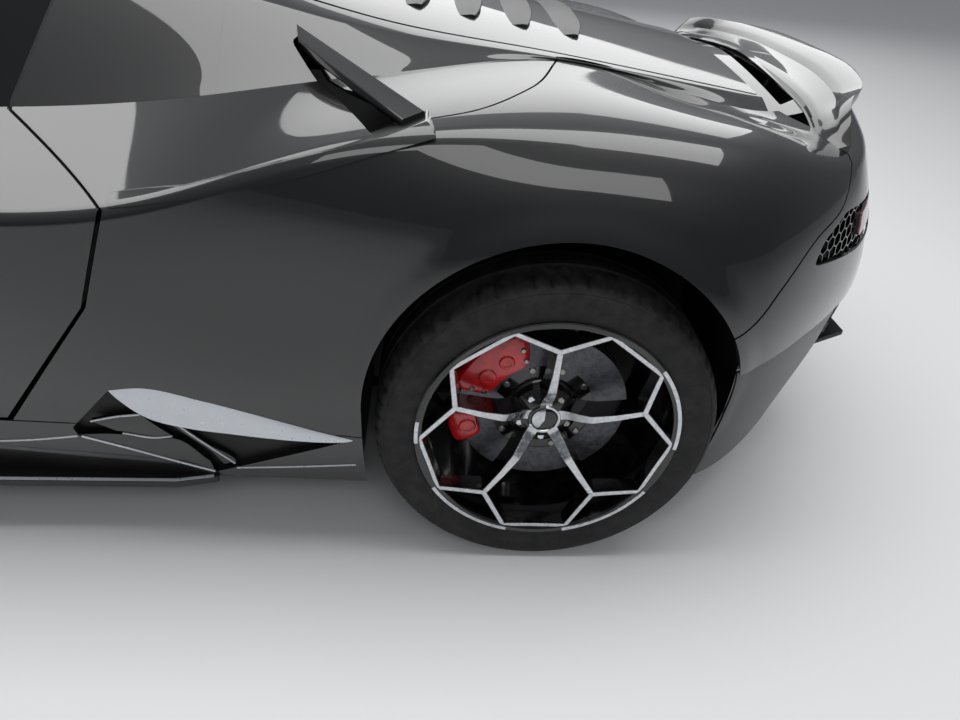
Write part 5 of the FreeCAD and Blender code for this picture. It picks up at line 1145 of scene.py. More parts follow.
front_mesh = honeycomb(pulled_in(FRONT_INTAKE, -8), lambda u, v, d: on_end(u, v, d, 3000))
EXHAUST_Y, EXHAUST_Z, EXHAUST_X = 215, 520, -2243
fascia_mesh = honeycomb(pulled_in(FASCIA, -8), lambda u, v, d: on_end(u, v, d, -3000),
                        holes=[(EXHAUST_Y, EXHAUST_Z, 68), (-EXHAUST_Y, EXHAUST_Z, 68)])
vent_mesh = honeycomb(pulled_in(CORNER_VENT, -6), lambda u, v, d: on_side(u, v, -d))
piece("front_intake_meshes", "chassis", front_mesh, piano, both=True)
piece("rear_fascia_mesh", "chassis", fascia_mesh, piano)
piece("rear_vent_meshes", "chassis", vent_mesh, piano, both=True)

# Roof, deck and engine lid
LID_HALF = [(LID_REAR_X, 440), (REAR_X, 452), (LID_FRONT_X, 468)]
WINDOW = [(868, 770), (868, 856), (620, 928), (245, 1072), (-5, 1104),
          (-365, 1092), (-425, 1040), (-365, 880), (-357, 770)]
window_cut = side_prism(WINDOW)
screen_half = [(925, 649), (620, 594), (225, 513)]
screen_opening = plan_prism(across(screen_half))
lid_opening = plan_prism(across(LID_HALF))
tray_opening = plan_prism(across([(ROOF_REAR_X, 468), (LID_FRONT_X - 1, 468)]))
ROOF_SPLIT_X = -700
roof = combined(upper_blank(955, -740, 8), [
    ("INTERSECT", plan_prism(across([(1000, 1000), (ROOF_SPLIT_X, 1000)]))),
    *on_both(window_cut), ("DIFFERENCE", screen_opening), ("DIFFERENCE", lid_opening),
    ("DIFFERENCE", tray_opening),
])
panel("roof_skin", "chassis", ["roof"], roof, upper_skin, paint, False)
deck = combined(upper_blank(-680, -1830, 6), [
    ("INTERSECT", plan_prism(across([(LID_REAR_X, 1000), (ROOF_SPLIT_X, 1000)]))),
    ("DIFFERENCE", lid_opening), ("DIFFERENCE", tray_opening), *on_both(upper_slot), *on_both(deck_joint),
])
panel("deck_side_skins", "chassis", ["deck_sides"], deck, upper_skin, paint, False)
lid_inner = plan_prism(across([
    (LID_REAR_X + PANEL_GAP, 440 - PANEL_GAP), (REAR_X, 452 - PANEL_GAP),
    (LID_FRONT_X - PANEL_GAP, 468 - PANEL_GAP),
]))
lid = combined(upper_blank(-620, -1830, 10), [("INTERSECT", lid_inner)])
panel("engine_lid_skin", "engine_lid", ["engine_lid"], lid, upper_skin, paint, False)

# Tail: its deck with a slot across it, and the ducktail that rises behind
TAIL_HALF, TAIL_FRONT_X, TAIL_REAR_X = 640, LID_REAR_X - PANEL_GAP, -2155
tail_grid = np.array([
    [(x, TAIL_HALF * -s, z - fall * abs(s) ** 1.5) for s in np.linspace(-1, 1, 61)]
    for x, z, fall in np.linspace((TAIL_FRONT_X, 922, 72), (TAIL_REAR_X, 920, 50), 30)
])
tail_normal = turned_out(normals_of(tail_grid))
tail_belt = [(p[0], p[1]) for p in belt_line[::3] if p[0] < LID_REAR_X - 4]
tail_plan = [(LID_REAR_X, belt_at(LID_REAR_X)[0])] + tail_belt
tail_plan = pulled_in(tail_plan + [(x, -y) for x, y in reversed(tail_plan[:-1])], 2)
deck_slot = prism(rounded(across([(-1865, 415), (-1913, 375)]), 10), "z", 800, OUTSIDE_Z)
tail_deck = combined(shell(tail_grid, tail_normal, 5), [
    ("INTERSECT", plan_prism(tail_plan)), ("DIFFERENCE", deck_slot),
])
panel("tail_deck_skin", "chassis", ["spoiler"], tail_deck, Skin(tail_grid, tail_normal), paint, False)
piece("tail_slot_floor", "chassis", prism(across([(-1852, 430), (-1925, 390)]), "z", 842, 846), grained)
#            y    front x, z    trailing x, z   lip  dish
DUCKTAIL = [(0,   -1917, 914,   -2105, 950,     14,  1.0), (250, -1917, 908, -2090, 948, 14, 1.0),
            (430, -1911, 892,   -2030, 940,     16,  0.9), (540, -1893, 872, -1955, 930, 40, 0.6),
            (578, -1885, 862,   -1939, 918,     52,  0.3), (628, -1883, 848, -1933, 866, 30, 0.0)]
DUCKTAIL_TOP = [(0, -4), (0.03, 2), (0.12, 3), (0.2, -1), (0.4, -8), (0.56, -8),  # share back, rise
                (0.62, 0), (0.68, 3), (0.95, 3), (0.99, 1.5), (1, -1)]
rows = smooth_line(DUCKTAIL, 9, ends=((1, 0, 0, 0, 0, 0, 0), None))
rows = np.concatenate([rows[:0:-1] * (-1, 1, 1, 1, 1, 1, 1), rows])
ducktail = loft([
    [(x0 + (x1 - x0) * s, y, z0 + (z1 - z0) * s + rise * dish) for s, rise in DUCKTAIL_TOP]
    + [(x1 + 1, y, z1 - lip + 2), (x1 + 3, y, z1 - lip), (x0 + (x1 - x0) * 0.35, y, z0 - 6),
       (x0 + 4, y, z0 - 6)]
    for y, x0, z0, x1, z1, lip, dish in rows
])
piece("ducktail", "chassis", ducktail, paint, smooth=30)

# Bonnet
belt_plan = [(p[0], p[1]) for p in belt_line[::4] if p[0] > BONNET_REAR_X]
bonnet_half = belt_at(BONNET_REAR_X)[0]
bonnet_plan = belt_plan + [(BONNET_REAR_X, bonnet_half), (BONNET_REAR_X, -bonnet_half)]
bonnet_plan += [(x, -y) for x, y in reversed(belt_plan[1:])]
bonnet = combined(shell(bonnet_grid, bonnet_normal, 8), [
    ("INTERSECT", plan_prism(pulled_in(bonnet_plan, PANEL_GAP / 2))),
])
panel("bonnet_skin", "bonnet", ["bonnet"], bonnet, bonnet_skin, paint, False)

# Glass
SCREEN_SPAN, SIDE_GLASS_SPAN, SIDE_GLASS_COLUMNS = (955, 200), (880, -440), (0, 26)
screen_plan = across([(x, y - 1) for x, y in screen_half])
screen_glass = combined(upper_blank(*SCREEN_SPAN, 5, 3), [("INTERSECT", plan_prism(screen_plan))])
panel("windscreen_glass", "chassis", ["windscreen"], screen_glass, upper_skin, glass, False)
side_glass = combined(upper_blank(*SIDE_GLASS_SPAN, 5, 4, *SIDE_GLASS_COLUMNS),
                      [("INTERSECT", side_prism(pulled_in(WINDOW, 6)))])
panel("door_glass_pane_left", "door_left", ["door_glass_left"], side_glass, upper_skin, glass, False)
panel("door_glass_pane_right", "door_right", ["door_glass_right"], mirrored(side_glass), upper_skin,
      glass, False)

# A printed black band under the screen's edge, and rubber seals round the side glass
screen_line = across([(x, y - 1.5) for x, y in screen_half])
frit = combined(upper_blank(*SCREEN_SPAN, 1.2, 8.6), [
    ("INTERSECT", plan_prism(screen_line)), ("DIFFERENCE", plan_prism(pulled_in(screen_line, 34))),
])
piece("windscreen_frit", "chassis", frit, piano, smooth=30)
seal = combined(upper_blank(*SIDE_GLASS_SPAN, 5, 2.5, *SIDE_GLASS_COLUMNS), [
    ("INTERSECT", side_prism(pulled_in(WINDOW, 0.4))), ("DIFFERENCE", side_prism(pulled_in(WINDOW, 5.4))),
])
piece("window_seals", "chassis", seal, rubber, both=True, smooth=30)

# Strakes that stand in the front intakes
strakes = []
for y, low, high in ((455, 196, 352), (610, 196, 368)):
    edge = [(on_end(y, z, 2.0, 3000)[0], z) for z in np.linspace(low, high, 14)]
    outline = edge + [(x - 58, z) for x, z in reversed(edge)]
    strakes.append(prism(rounded(outline, 3), "y", y - 4, y + 4))
piece("front_intake_strakes", "chassis", joined(*strakes), piano, both=True)

# Wheels, made round the origin with the axle along Y and the outer face at y = 0
FACE_LINE = [(0, -64), (36, -64), (46, -60), (66, -44), (92, -27),  # radius, y
             (140, -17), (201, -11), (245, -5), (270, -2)]
BACK_LINE = [(0, -93), (60, -93), (74, -88), (110, -68), (160, -58), (201, -50), (236, -38), (270, -30)]
HUB_SEAT, DISC_THICK = -94.3, 34


def face_at(r):
    """The outer face's y on the spokes at radius r."""
    return float(np.interp(r, *zip(*FACE_LINE)))


def back_at(r):
    """The inner face's y on the spokes at radius r."""
    return float(np.interp(r, *zip(*BACK_LINE)))


def beam(line, widths, draft=3.5, pieces=14, lift=0.0, depth=None):
    """A tapered bar along a line in the wheel's plane, its face on the wheel's dish. Depth is its
    thickness, the full depth of the spokes where none is given."""
    line = np.array(line, float)
    share = np.linspace(0, 1, pieces + 1)
    cut = np.linspace(0, 1, len(line))
    u = np.interp(share, cut, line[:, 0])
    v = np.interp(share, cut, line[:, 1])
    w = np.interp(share, np.linspace(0, 1, len(widths)), widths)
    way = np.stack([np.gradient(u), np.gradient(v)], axis=1)
    way /= np.linalg.norm(way, axis=1, keepdims=True)
    side = np.stack([-way[:, 1], way[:, 0]], axis=1)
    verts, faces = [], []
    for p, s, half in zip(zip(u, v), side, w / 2):
        r = math.hypot(*p)
        front = face_at(r) + lift
        back = back_at(r) if depth is None else front - depth
        for reach, y in ((half, front), (-half, front), (-half - draft, back), (half + draft, back)):
            verts.append((p[0] + s[0] * reach, y, p[1] + s[1] * reach))
    for i in range(pieces):
        for j in range(4):
            a, b = i * 4 + j, i * 4 + (j + 1) % 4
            faces.append((a, b, b + 4, a + 4))
    faces += [(0, 1, 2, 3), tuple(pieces * 4 + j for j in (0, 1, 2, 3))]
    return oriented(verts, faces)


def polar(radius, angle):
    """(x, z) at a radius and an angle from the top of the wheel."""
    return (radius * math.sin(angle), radius * math.cos(angle))


SPOKES = 5
FORK, BRANCH_END, BRANCH_ANGLE = 201, 254, math.radians(21.2)
STEM_WIDTHS, BRANCH_WIDTHS, CHORD_WIDTH = [26, 23, 18.5, 15.5, 13.5, 12.5], [12, 10.5], 10
SILVER_INSET = 1.2


def spokes(inset, **form):
    """Every bar of the wheel's spider, narrower than its full width by twice the inset."""
    bars = []
    for k in range(SPOKES):
        turn = 2 * math.pi * k / SPOKES
        bars.append(beam([polar(29, turn), polar(FORK, turn)], [w - 2 * inset for w in STEM_WIDTHS],
                         pieces=26, **form))
        for side in (1, -1):
            end = polar(BRANCH_END + 4, turn + side * BRANCH_ANGLE)
            bars.append(beam([polar(FORK - 4, turn), end], [w - 2 * inset for w in BRANCH_WIDTHS],
                             pieces=8, **form))
        following = turn + 2 * math.pi / SPOKES
        ends = [polar(BRANCH_END, turn + BRANCH_ANGLE), polar(BRANCH_END, following - BRANCH_ANGLE)]
        bars.append(beam(ends, [CHORD_WIDTH - 2 * inset] * 2, pieces=16, **form))
    return bars


spider = revolve([(27, -66), (34, -63.8), (38, -64.5), (64, -78), (68, -80), (68, -93), (27, -93)], 80)
spider = combined(spider, [("UNION", bar) for bar in spokes(0, draft=3.5)])
hub_ring = revolve([(27.5, -62), (29, -60.5), (33, -60.5), (34.5, -62), (34.5, -67), (27.5, -67)], 80)
silver = combined(hub_ring, [("UNION", bar) for bar in spokes(SILVER_INSET, draft=0, depth=2.2, lift=0.5)])


def arc_band(radius, width, y, depth, start, stop, count=24):
    """A silver arc laid on the rim's flange."""
    low, high = radius - width / 2, radius + width / 2
    section = ((low, y), (high, y), (high, y - depth), (low, y - depth))
    return loft([
        [(r * math.sin(a), h, r * math.cos(a)) for r, h in section] for a in np.linspace(start, stop, count)
    ])


def rim_parts(width):
    """Barrel with its flange, the flange's silver arcs, the centre cap and the bolts of a wheel of that
    width.
    """
    barrel = revolve([
        (251, -6), (257, -1.5), (264, -0.5), (266.5, -3), (266.5, -8), (260, -11),
        (254, -14), (254, -58), (246, -78), (246, -width + 50), (254, -width + 40),
        (254, -width + 14), (266, -width + 8), (265, -width + 1),
        (246, -width + 2), (240, -width + 30), (240, -70), (247, -18),
    ], 160)
    arcs = [arc_band(261.5, 7.5, 0.2, 3, 2 * math.pi * k / SPOKES - BRANCH_ANGLE - 0.02,
                     2 * math.pi * k / SPOKES + BRANCH_ANGLE + 0.02) for k in range(SPOKES)]
    cap = revolve([(0.01, -58.5), (20, -59.5), (25.5, -62), (26.6, -66), (26.6, -90), (0.01, -90)], 64)
    bolts = []
    for k in range(SPOKES):
        u, v = polar(52, 2 * math.pi * (k + 0.5) / SPOKES)
        bolts.append(cylinder((u, -84, v), (0, 1, 0), 8.5, 14, 6, 1.5))
        bolts.append(cylinder((u, -84, v), (0, 1, 0), 11.5, 5, 28, 1.0))
    return barrel, arcs, cap, bolts


def tyre_ring(radius, width, pitches=64):
    """A tyre with four grooves, sipes across its shoulders and a rounded sidewall."""
    half = [
        (256, -17), (260, -8), (268, -5.5), (276, -4.5), (284, -3.2), (292, -1.6), (300, -0.4),
        (radius - 30, -0.6), (radius - 22, -2.2), (radius - 20.5, -3.8), (radius - 19, -3.2),
        (radius - 14, -6), (radius - 9, -12), (radius - 5, -20), (radius - 3, -27),
    ]
    tread = [(radius - 1.6, -38), (radius - 1, -52)]
    groove_at = [0.25, 0.42]
    line = list(half) + tread
    for share in groove_at:
        y = -width * share
        foot = radius - 7.5
        line += [(radius - 0.4, y + 6.5), (foot, y + 4.5), (foot, y - 4.5), (radius - 0.2, y - 6.5)]
    mirror_line = [(r, -width - y) for r, y in reversed(line)]
    profile = line + mirror_line + [(254.6, -width + 17), (254.6, -17)]
    verts, faces = revolve(profile, pitches * 5)
    r = np.hypot(verts[:, 0], verts[:, 2])
    angle = np.arctan2(verts[:, 0], verts[:, 2]) % (2 * math.pi)
    step = np.round(angle / (2 * math.pi) * pitches * 5).astype(int) % 5
    y = verts[:, 1]
    outer_band = ((y > -width * 0.22) | (y < -width * 0.78)) & (r > radius - 12)
    depth = np.where(outer_band & (step == 0), 4.5, 0)
    shrink = (r - depth) / np.maximum(r, 1)
    verts[:, 0] *= shrink
    verts[:, 2] *= shrink
    return verts, faces


def disc_parts(radius):
    """A vented disc on its hat: plates, vanes between them, hat and fixings."""
    seat = HUB_SEAT
    face, back = seat - 6, seat - 6 - DISC_THICK
    inner = radius * 0.6
    outer_plate = [(inner, face), (radius - 1, face), (radius, face - 1), (radius, face - 11),
                   (inner, face - 11)]
    inner_plate = [(inner, face - 23), (radius, face - 23), (radius, face - 33), (radius - 1, back),
                   (inner, back)]
    plates = [revolve(outer_plate, 120), revolve(inner_plate, 120)]
    vanes = []
    for k in range(40):
        a = 2 * math.pi * k / 40
        lean = a + 0.12
        p, q = polar(inner + 4, a), polar(radius - 3, lean)
        way = np.array(q) - np.array(p)
        s = np.array([-way[1], way[0]]) / np.linalg.norm(way) * 1.8
        base = [np.array(p) + s, np.array(q) + s, np.array(q) - s, np.array(p) - s]
        vanes.append(prism(base, "y", face - 23.5, face - 10.5))
    hat = revolve([
        (0.01, seat), (74, seat), (78, seat - 3), (80, face - 1), (inner + 3, face - 1.5),
        (inner + 3, face - 8), (72, face - 8), (68, seat - 12), (0.01, seat - 12),
    ], 100)
    fixings = []
    for k in range(10):
        u, v = polar(inner - 8, 2 * math.pi * (k + 0.5) / 10)
        fixings.append(cylinder((u, face - 3, v), (0, 1, 0), 7, 5, 24, 1.2))
    return plates, vanes, hat, fixings


AXLES = {  # x, half track, tyre radius, tyre width, disc radius
    "front": (FRONT_X, 820, 327.5, 245, 190),
    "rear": (REAR_X, 795, 345, 305, 178),
}
for axle, (x, half_track, radius, width, disc_radius) in AXLES.items():
    barrel, arcs, cap, bolts = rim_parts(width)
    rim_groups = [(*barrel, coated), (*spider, coated), (*silver, turned), (*cap, piano)]
    rim_groups += [(*a, turned) for a in arcs] + [(*b, zinc) for b in bolts]
    plates, vanes, hat, fixings = disc_parts(disc_radius)
    disc_groups = [(*p, iron) for p in plates + vanes] + [(*hat, coated)] + [(*f, zinc) for f in fixings]
    tyre_groups = [(*tyre_ring(radius, width), rubber)]
    place = (x, half_track + width / 2, radius)
    for side, mirror in (("left", False), ("right", True)):
        body = f"wheel_{axle}_{side}"
        put_together(f"wheel_rim_{axle}_{side}", rim_groups, place, mirror, body,
                     [f"rim_{axle}_{side}"])
        put_together(f"wheel_tyre_{axle}_{side}", tyre_groups, place, mirror, body,
                     [f"tyre_{axle}_{side}"], 40)
        put_together(f"brake_disc_{axle}_{side}", disc_groups, place, mirror, body,
                     [f"disc_{axle}_{side}"])


def caliper_parts(disc_radius, start, sweep, reach, depth, bosses):
    """A fixed caliper in the wheel's plane: a U-shaped casting over the disc, with its bosses,
    windows, bolts and pads. Angles run from straight ahead upward, in degrees."""
    face = HUB_SEAT - 6
    back = face - DISC_THICK
    r_in, r_out, r_slot = disc_radius - depth, disc_radius + 24, disc_radius + 6
    count = 30
    verts, faces = [], []
    for k, a in enumerate(np.linspace(start, start + sweep, count + 1)):
        t = abs(2 * k / count - 1)
        round_off = 1 - math.sqrt(max(0.0, 1 - t ** 6))
        rise = 0.42 * (r_out - r_in) * round_off
        thin = 1 - 0.45 * round_off
        top = r_out - 7 * round_off
        waist = 2.2 * math.cos(math.radians(a - start) * 360 / sweep)
        low, near, away = r_in + rise, face + reach * thin, back - reach * thin
        ring = [
            (low + 5, face + 3), (low, face + 3 + 4 * thin), (low + 3, near - 3), (low + 12, near),
            (r_out - 24, near), (top - 9, near - 4 + waist * 0.3), (top - 2, face + 3), (top, face - 5),
            (top, back + 5), (top - 2, back - 3), (top - 9, away + 4), (low + 12, away), (low + 2, away + 4),
            (low, back - 5), (low + 5, back - 3), (r_slot, back - 3), (r_slot, face + 3),
        ]
        c, s = math.cos(math.radians(a)), math.sin(math.radians(a))
        verts += [(r * c, y, r * s) for r, y in ring]
    n = len(ring)
    for k in range(count):
        for j in range(n):
            a, b = k * n + j, k * n + (j + 1) % n
            faces.append((a, b, b + n, a + n))
    faces += [tuple(range(n)), tuple(count * n + j for j in range(n))]
    body = oriented(verts, faces)
    tools, extras = [], []
    middle = (r_in + r_slot) / 2

    def spot(angle, r):
        """(x, z) at an angle in degrees and a radius."""
        return r * math.cos(math.radians(angle)), r * math.sin(math.radians(angle))

    for i in range(bosses):
        angle = start + sweep * (i + 1) / (bosses + 1)
        u, v = spot(angle, middle)
        size = (18, 16, 14)[i % 3]
        tools.append(("UNION", cylinder((u, face + 6, v), (0, 1, 0), size, reach - 6 + 3.4, 36, 2.5)))
        tools.append(("DIFFERENCE", cylinder((u, face + reach + 1.6, v), (0, 1, 0), size - 6, 6, 30)))
    for i in range(bosses - 1):
        angle = start + sweep * (i + 1.5) / (bosses + 1)
        c, s = math.cos(math.radians(angle)), math.sin(math.radians(angle))
        low, high = r_slot - 4, r_out + 6
        half = 7
        outline = [(low * c - half * s, low * s + half * c), (high * c - half * s, high * s + half * c),
                   (high * c + half * s, high * s - half * c), (low * c + half * s, low * s - half * c)]
        tools.append(("DIFFERENCE", prism(outline, "y", back + 2, face - 2)))
        bridge_bolt = cylinder(((r_out - 7) * c, back - 3, (r_out - 7) * s), (0, 1, 0), 3.2, 40, 16)
        extras.append((*bridge_bolt, zinc))
    body = combined(body, tools)
    groups = [(*body, enamel)]
    stop = start + sweep
    bolts = [(start + 4.5, middle + 12), (stop - 4.5, middle + 12),
             (start + 5, middle - 14), (stop - 5, middle - 14)]
    for angle, r in bolts if bosses > 1 else ():
        u, v = spot(angle, r)
        groups.append((*cylinder((u, face + reach - 4, v), (0, 1, 0), 5.6, 7, 6, 1.0), zinc))
    pad = [spot(start + 6, r_in + 8), spot(stop - 6, r_in + 8),
           spot(stop - 6, disc_radius - 4), spot(start + 6, disc_radius - 4)]
    for y0, y1 in ((face + 0.4, face + 2.9), (back - 2.9, back - 0.4)):
        groups.append((*prism(pad, "y", y0, y1), iron))
    return groups + extras


CALIPERS = [  # name, axle, [(start, sweep, reach, depth, bosses)]
    ("brake_calipers_rear", "rear", [(16, 58, 16, 62, 2), (-28, 26, 14, 40, 1)]),
    ("brake_caliper_front", "front", [(150, 62, 16, 70, 3)]),
]
for name, axle, pieces in CALIPERS:
    x, half_track, radius, width, disc_radius = AXLES[axle]
    groups = [g for form in pieces for g in caliper_parts(disc_radius, *form)]
    place = (x, half_track + width / 2, radius)
    if axle == "rear":
        left = [(v + place, f, m) for v, f, m in groups]
        put_together(name, both_sides(left), ORIGIN, False, "chassis", ["rear_calipers"])
    else:
        for side, mirror in (("left", False), ("right", True)):
            put_together(f"{name}_{side}", groups, place, mirror, f"steer_{side}",
                         [f"caliper_front_{side}"])


# Lamps: a clear or red skin over a black bowl, with light guides inside
def bowl(x_ahead, x_behind, outline, depth, first, last, wall=3.0, axis="z", low=0, high=OUTSIDE_Z):
    """A closed-backed housing under the side skin: an outline's solid with its middle taken out."""
    void = combined(side_blank(x_ahead, x_behind, depth, first, last, 1.0),
                    [("INTERSECT", prism(pulled_in(outline, wall), axis, low + wall, high))], True)
    block = combined(side_blank(x_ahead, x_behind, depth + wall - 3.6, first, last, 3.6),
                     [("INTERSECT", prism(outline, axis, low, high))], True)
    return combined(block, [("DIFFERENCE", void)])


def along_skin(places, depth):
    """Points under the side skin at (column x, hoop row) places."""
    return [side_grid[side_column(x), row] - side_normal[side_column(x), row] * depth for x, row in places]


LENS_INSET, LENS_GAP, BOWL_GAP = 0.4, 1.4, 1.6  # the lens under the skin, and both from the outline
HEADLAMP_SPAN = (2110, 1640)
HEADLAMP_ROWS = (FLANK_ROW - 4, BELT_ROW)
PROJECTORS = [(1930, SHOULDER_ROW + 3, 27), (1850, SHOULDER_ROW + 3, 25), (1775, SHOULDER_ROW + 2, 22)]
PROJECTOR_DEPTH, PROJECTOR_REACH = 44, 20
GUIDE_ROW, GUIDE_DEPTH, GUIDE_STEP, FORK_X = SHOULDER_ROW - 3, 13, 12, 1873
lens_skin = Skin(side_grid - side_normal * LENS_INSET, side_normal)
lamp_outline = [tuple(p) for p in rounded(HEADLAMP_PLAN, 10)]
lamp_lens = combined(side_blank(*HEADLAMP_SPAN, 3, *HEADLAMP_ROWS, LENS_INSET),
                     [("INTERSECT", prism(pulled_in(lamp_outline, LENS_GAP), "z", 522, OUTSIDE_Z))])
panel("headlamp_lenses", "chassis", ["headlamps"], lamp_lens, lens_skin, lens)
lamp_bowl = bowl(*HEADLAMP_SPAN, pulled_in(lamp_outline, BOWL_GAP), 46, *HEADLAMP_ROWS, low=474)
lamp_parts = [(*lamp_bowl, piano)]
for x, row, radius in PROJECTORS:
    c = side_column(x)
    n = side_normal[c, row]
    foot = side_grid[c, row] - n * PROJECTOR_DEPTH
    lamp_parts.append((*cylinder(foot, n, radius, PROJECTOR_REACH, 40, 3), silvered))
    lamp_parts.append((*cylinder(foot + n * PROJECTOR_REACH, n, radius - 5, 7, 40, 4), lens))
guide = along_skin([(x, GUIDE_ROW) for x in range(1985, 1865, -GUIDE_STEP)], GUIDE_DEPTH)
upper_arm = along_skin([(FORK_X - GUIDE_STEP * i, GUIDE_ROW + i) for i in range(11)], GUIDE_DEPTH)
lower_arm = along_skin([(FORK_X - GUIDE_STEP * i, GUIDE_ROW - i // 2) for i in range(11)], GUIDE_DEPTH)
lamp_parts += [(*tube(line, 4.2), opal) for line in (guide, upper_arm, lower_arm)]
put_together("headlamp_units", both_sides(lamp_parts), ORIGIN, False, "chassis", [])

TAIL_LAMP_X = -1880
TAIL_GUIDES = [  # y and z of both ends
    (352, 713, 470, 714), (470, 714, 560, 728), (470, 714, 560, 702), (560, 728, 648, 728),
    (560, 702, 655, 704),
]
tail_outline = [tuple(p) for p in rounded(TAIL_LAMP, 8)]
tail_lens = combined(side_blank(TAIL_LAMP_X, TAIL_X, 3, FLANK_ROW, BELT_ROW, LENS_INSET),
                     [("INTERSECT", prism(pulled_in(tail_outline, LENS_GAP), "x", *TAIL_CUT))])
panel("tail_lamp_lenses", "chassis", ["tail_lamps"], tail_lens, lens_skin, red_lens)
tail_bowl = bowl(TAIL_LAMP_X, TAIL_X, pulled_in(tail_outline, BOWL_GAP), 30, FLANK_ROW, BELT_ROW, 2.5,
                 "x", *TAIL_CUT)
tail_parts = [(*tail_bowl, piano)]
for y0, z0, y1, z1 in TAIL_GUIDES:
    line = [on_end(y0 + (y1 - y0) * t, z0 + (z1 - z0) * t, 12, -3000) for t in np.linspace(0, 1, 9)]
    tail_parts.append((*tube(line, 4.5), opal))
put_together("tail_lamp_units", both_sides(tail_parts), ORIGIN, False, "chassis", [])

# Exhaust tips: thin pipes with a rolled lip, and a dark throat, a disc that closes each pipe as painted
# shade of its depth
tip = revolve([(50, 0), (51, -3.5), (54, -4.8), (56, -3.0), (56, 186), (52.4, 186), (52.4, 6)], 72)
sleeve = revolve([(46, 12), (47.5, 10), (49, 12), (49, 186), (46, 186)], 72)
painted_shade_throat = revolve([(0.01, 120), (48, 120), (48, 124), (0.01, 124)], 48)


def along_car(solid):
    """A solid made round Y, turned to run along the car from the tail."""
    verts, faces = solid
    x, y, z = verts[:, 1], verts[:, 0], verts[:, 2]
    return oriented(np.stack([EXHAUST_X + 5 + x, EXHAUST_Y + y, EXHAUST_Z + z], axis=1), faces)


bezel = revolve([(59, 4), (60.5, 1), (70, 1), (76, 6), (76, 34), (59, 34)], 72)
put_together("exhaust_pipes", both_sides([
    (*along_car(bezel), piano), (*along_car(tip), steel), (*along_car(sleeve), steel),
    (*along_car(painted_shade_throat), grained),
]), ORIGIN, False, "chassis", ["exhaust_tips"])

# Mirrors: a rounded pod with its glass, on a swept stalk
MIRROR_X, MIRROR_Y, MIRROR_Z = 690, 900, 912
POD = [(-59, 90, 50, 0.97), (-54, 91, 51, 1), (-20, 92, 51.5, 1), (20, 89, 49, 1),  # x, half sizes, share
       (45, 80, 43, 1), (62, 68, 35, 1), (71, 56, 27, 1), (75, 40, 17, 1)]
STALK = [(0, -52, -30), (0.3, -66, -58), (0.7, -92, -82), (1, -124, -110)]  # share down, y and z


def pod_section(dx, w, h, share):
    """A closed outline of the pod, wider than high and cut off towards its tip."""
    corners = [(-w, -h), (w, -h * 0.6), (w * 0.9, h * 0.8), (-w, h)]
    outline = rounded(corners, h * 0.75, 7)
    return [(MIRROR_X + dx, MIRROR_Y + y * share, MIRROR_Z + z * share) for y, z in outline]


def mirror_plate(corners, radius, low, high):
    """A flat solid across the pod, its corners and ends measured from the pod's centre."""
    outline = rounded([(MIRROR_Y + y, MIRROR_Z + z) for y, z in corners], radius)
    return prism([tuple(p) for p in outline], "x", MIRROR_X + low, MIRROR_X + high)


recess = mirror_plate([(-84, -40), (82, -26), (75, 35), (-84, 41)], 22, -70, -50)
pod = combined(loft([pod_section(*section) for section in POD]), [("DIFFERENCE", recess)])
mirror_glass = mirror_plate([(-82, -38), (80, -24), (73, 33), (-82, 39)], 21, -53, -50)
stalk_rings = []
for t, dy, dz in STALK:
    y0, z0 = MIRROR_Y + dy, MIRROR_Z + dz
    ring = rounded([(-14 - 5 * t, -9 + y0, z0), (24, y0, z0), (-14 - 5 * t, 9 + y0, z0)], 9)
    stalk_rings.append([(MIRROR_X + dx, y, z) for dx, y, z in ring])
stalk = loft(stalk_rings)
for side, sign in (("left", 1), ("right", -1)):
    put_together(f"mirror_pod_{side}", [(*pod, paint), (*stalk, piano), (*mirror_glass, silvered)],
                 ORIGIN, sign < 0, f"door_{side}", [f"mirror_{side}"], 40)

# Rear window behind the seats
pane = rounded([(-428, 752), (-428, 979), (-389, 1013), (389, 1013), (428, 979), (428, 752)], 16)
piece("rear_window_pane", "chassis", prism(pane, "x", -649.5, -644.5), glass, ["rear_glass"])

# Seats: a moulded shell that holds crowned pads
SEAT_Y = 362
CHANNEL_DEPTH, CHANNEL_SHARE = 5.5, 0.022  # of a sewn channel, the second as a share of the pad


def cushion(line, halves, crown, thick, count=26, across_count=21, channels=()):
    """A stuffed pad along a side line of (x, z). It crowns across, pulls in at its ends and has
    sewn channels."""
    line = evenly(line, count)
    way = np.gradient(line, axis=0)
    up = np.stack([-way[:, 1], way[:, 0]], axis=1) / np.linalg.norm(way, axis=1, keepdims=True)
    if up[:, 1].mean() < 0:
        up = -up
    outlines = []
    for k, (p, n) in enumerate(zip(line, up)):
        t = k / (count - 1)
        end = (1 - abs(2 * t - 1) ** 6) ** 0.5
        half = np.interp(t, np.linspace(0, 1, len(halves)), halves) * (0.9 + 0.1 * end)
        dip = sum(CHANNEL_DEPTH * math.exp(-((t - c) / CHANNEL_SHARE) ** 2) for c in channels)
        ring = []
        for s in np.linspace(-1, 1, across_count):
            rise = max(crown * (1 - abs(s) ** 3.2) - dip * (1 - s * s) ** 0.3, 0) * (0.25 + 0.75 * end)
            ring.append((p[0] + n[0] * rise, SEAT_Y + half * s, p[1] + n[1] * rise))
        for s in np.linspace(1, -1, across_count):
            drop = thick * (1 - abs(s) ** 6) * (0.3 + 0.7 * end) + 1.0
            ring.append((p[0] - n[0] * drop, SEAT_Y + half * s, p[1] - n[1] * drop))
        outlines.append(ring)
    return loft(outlines)


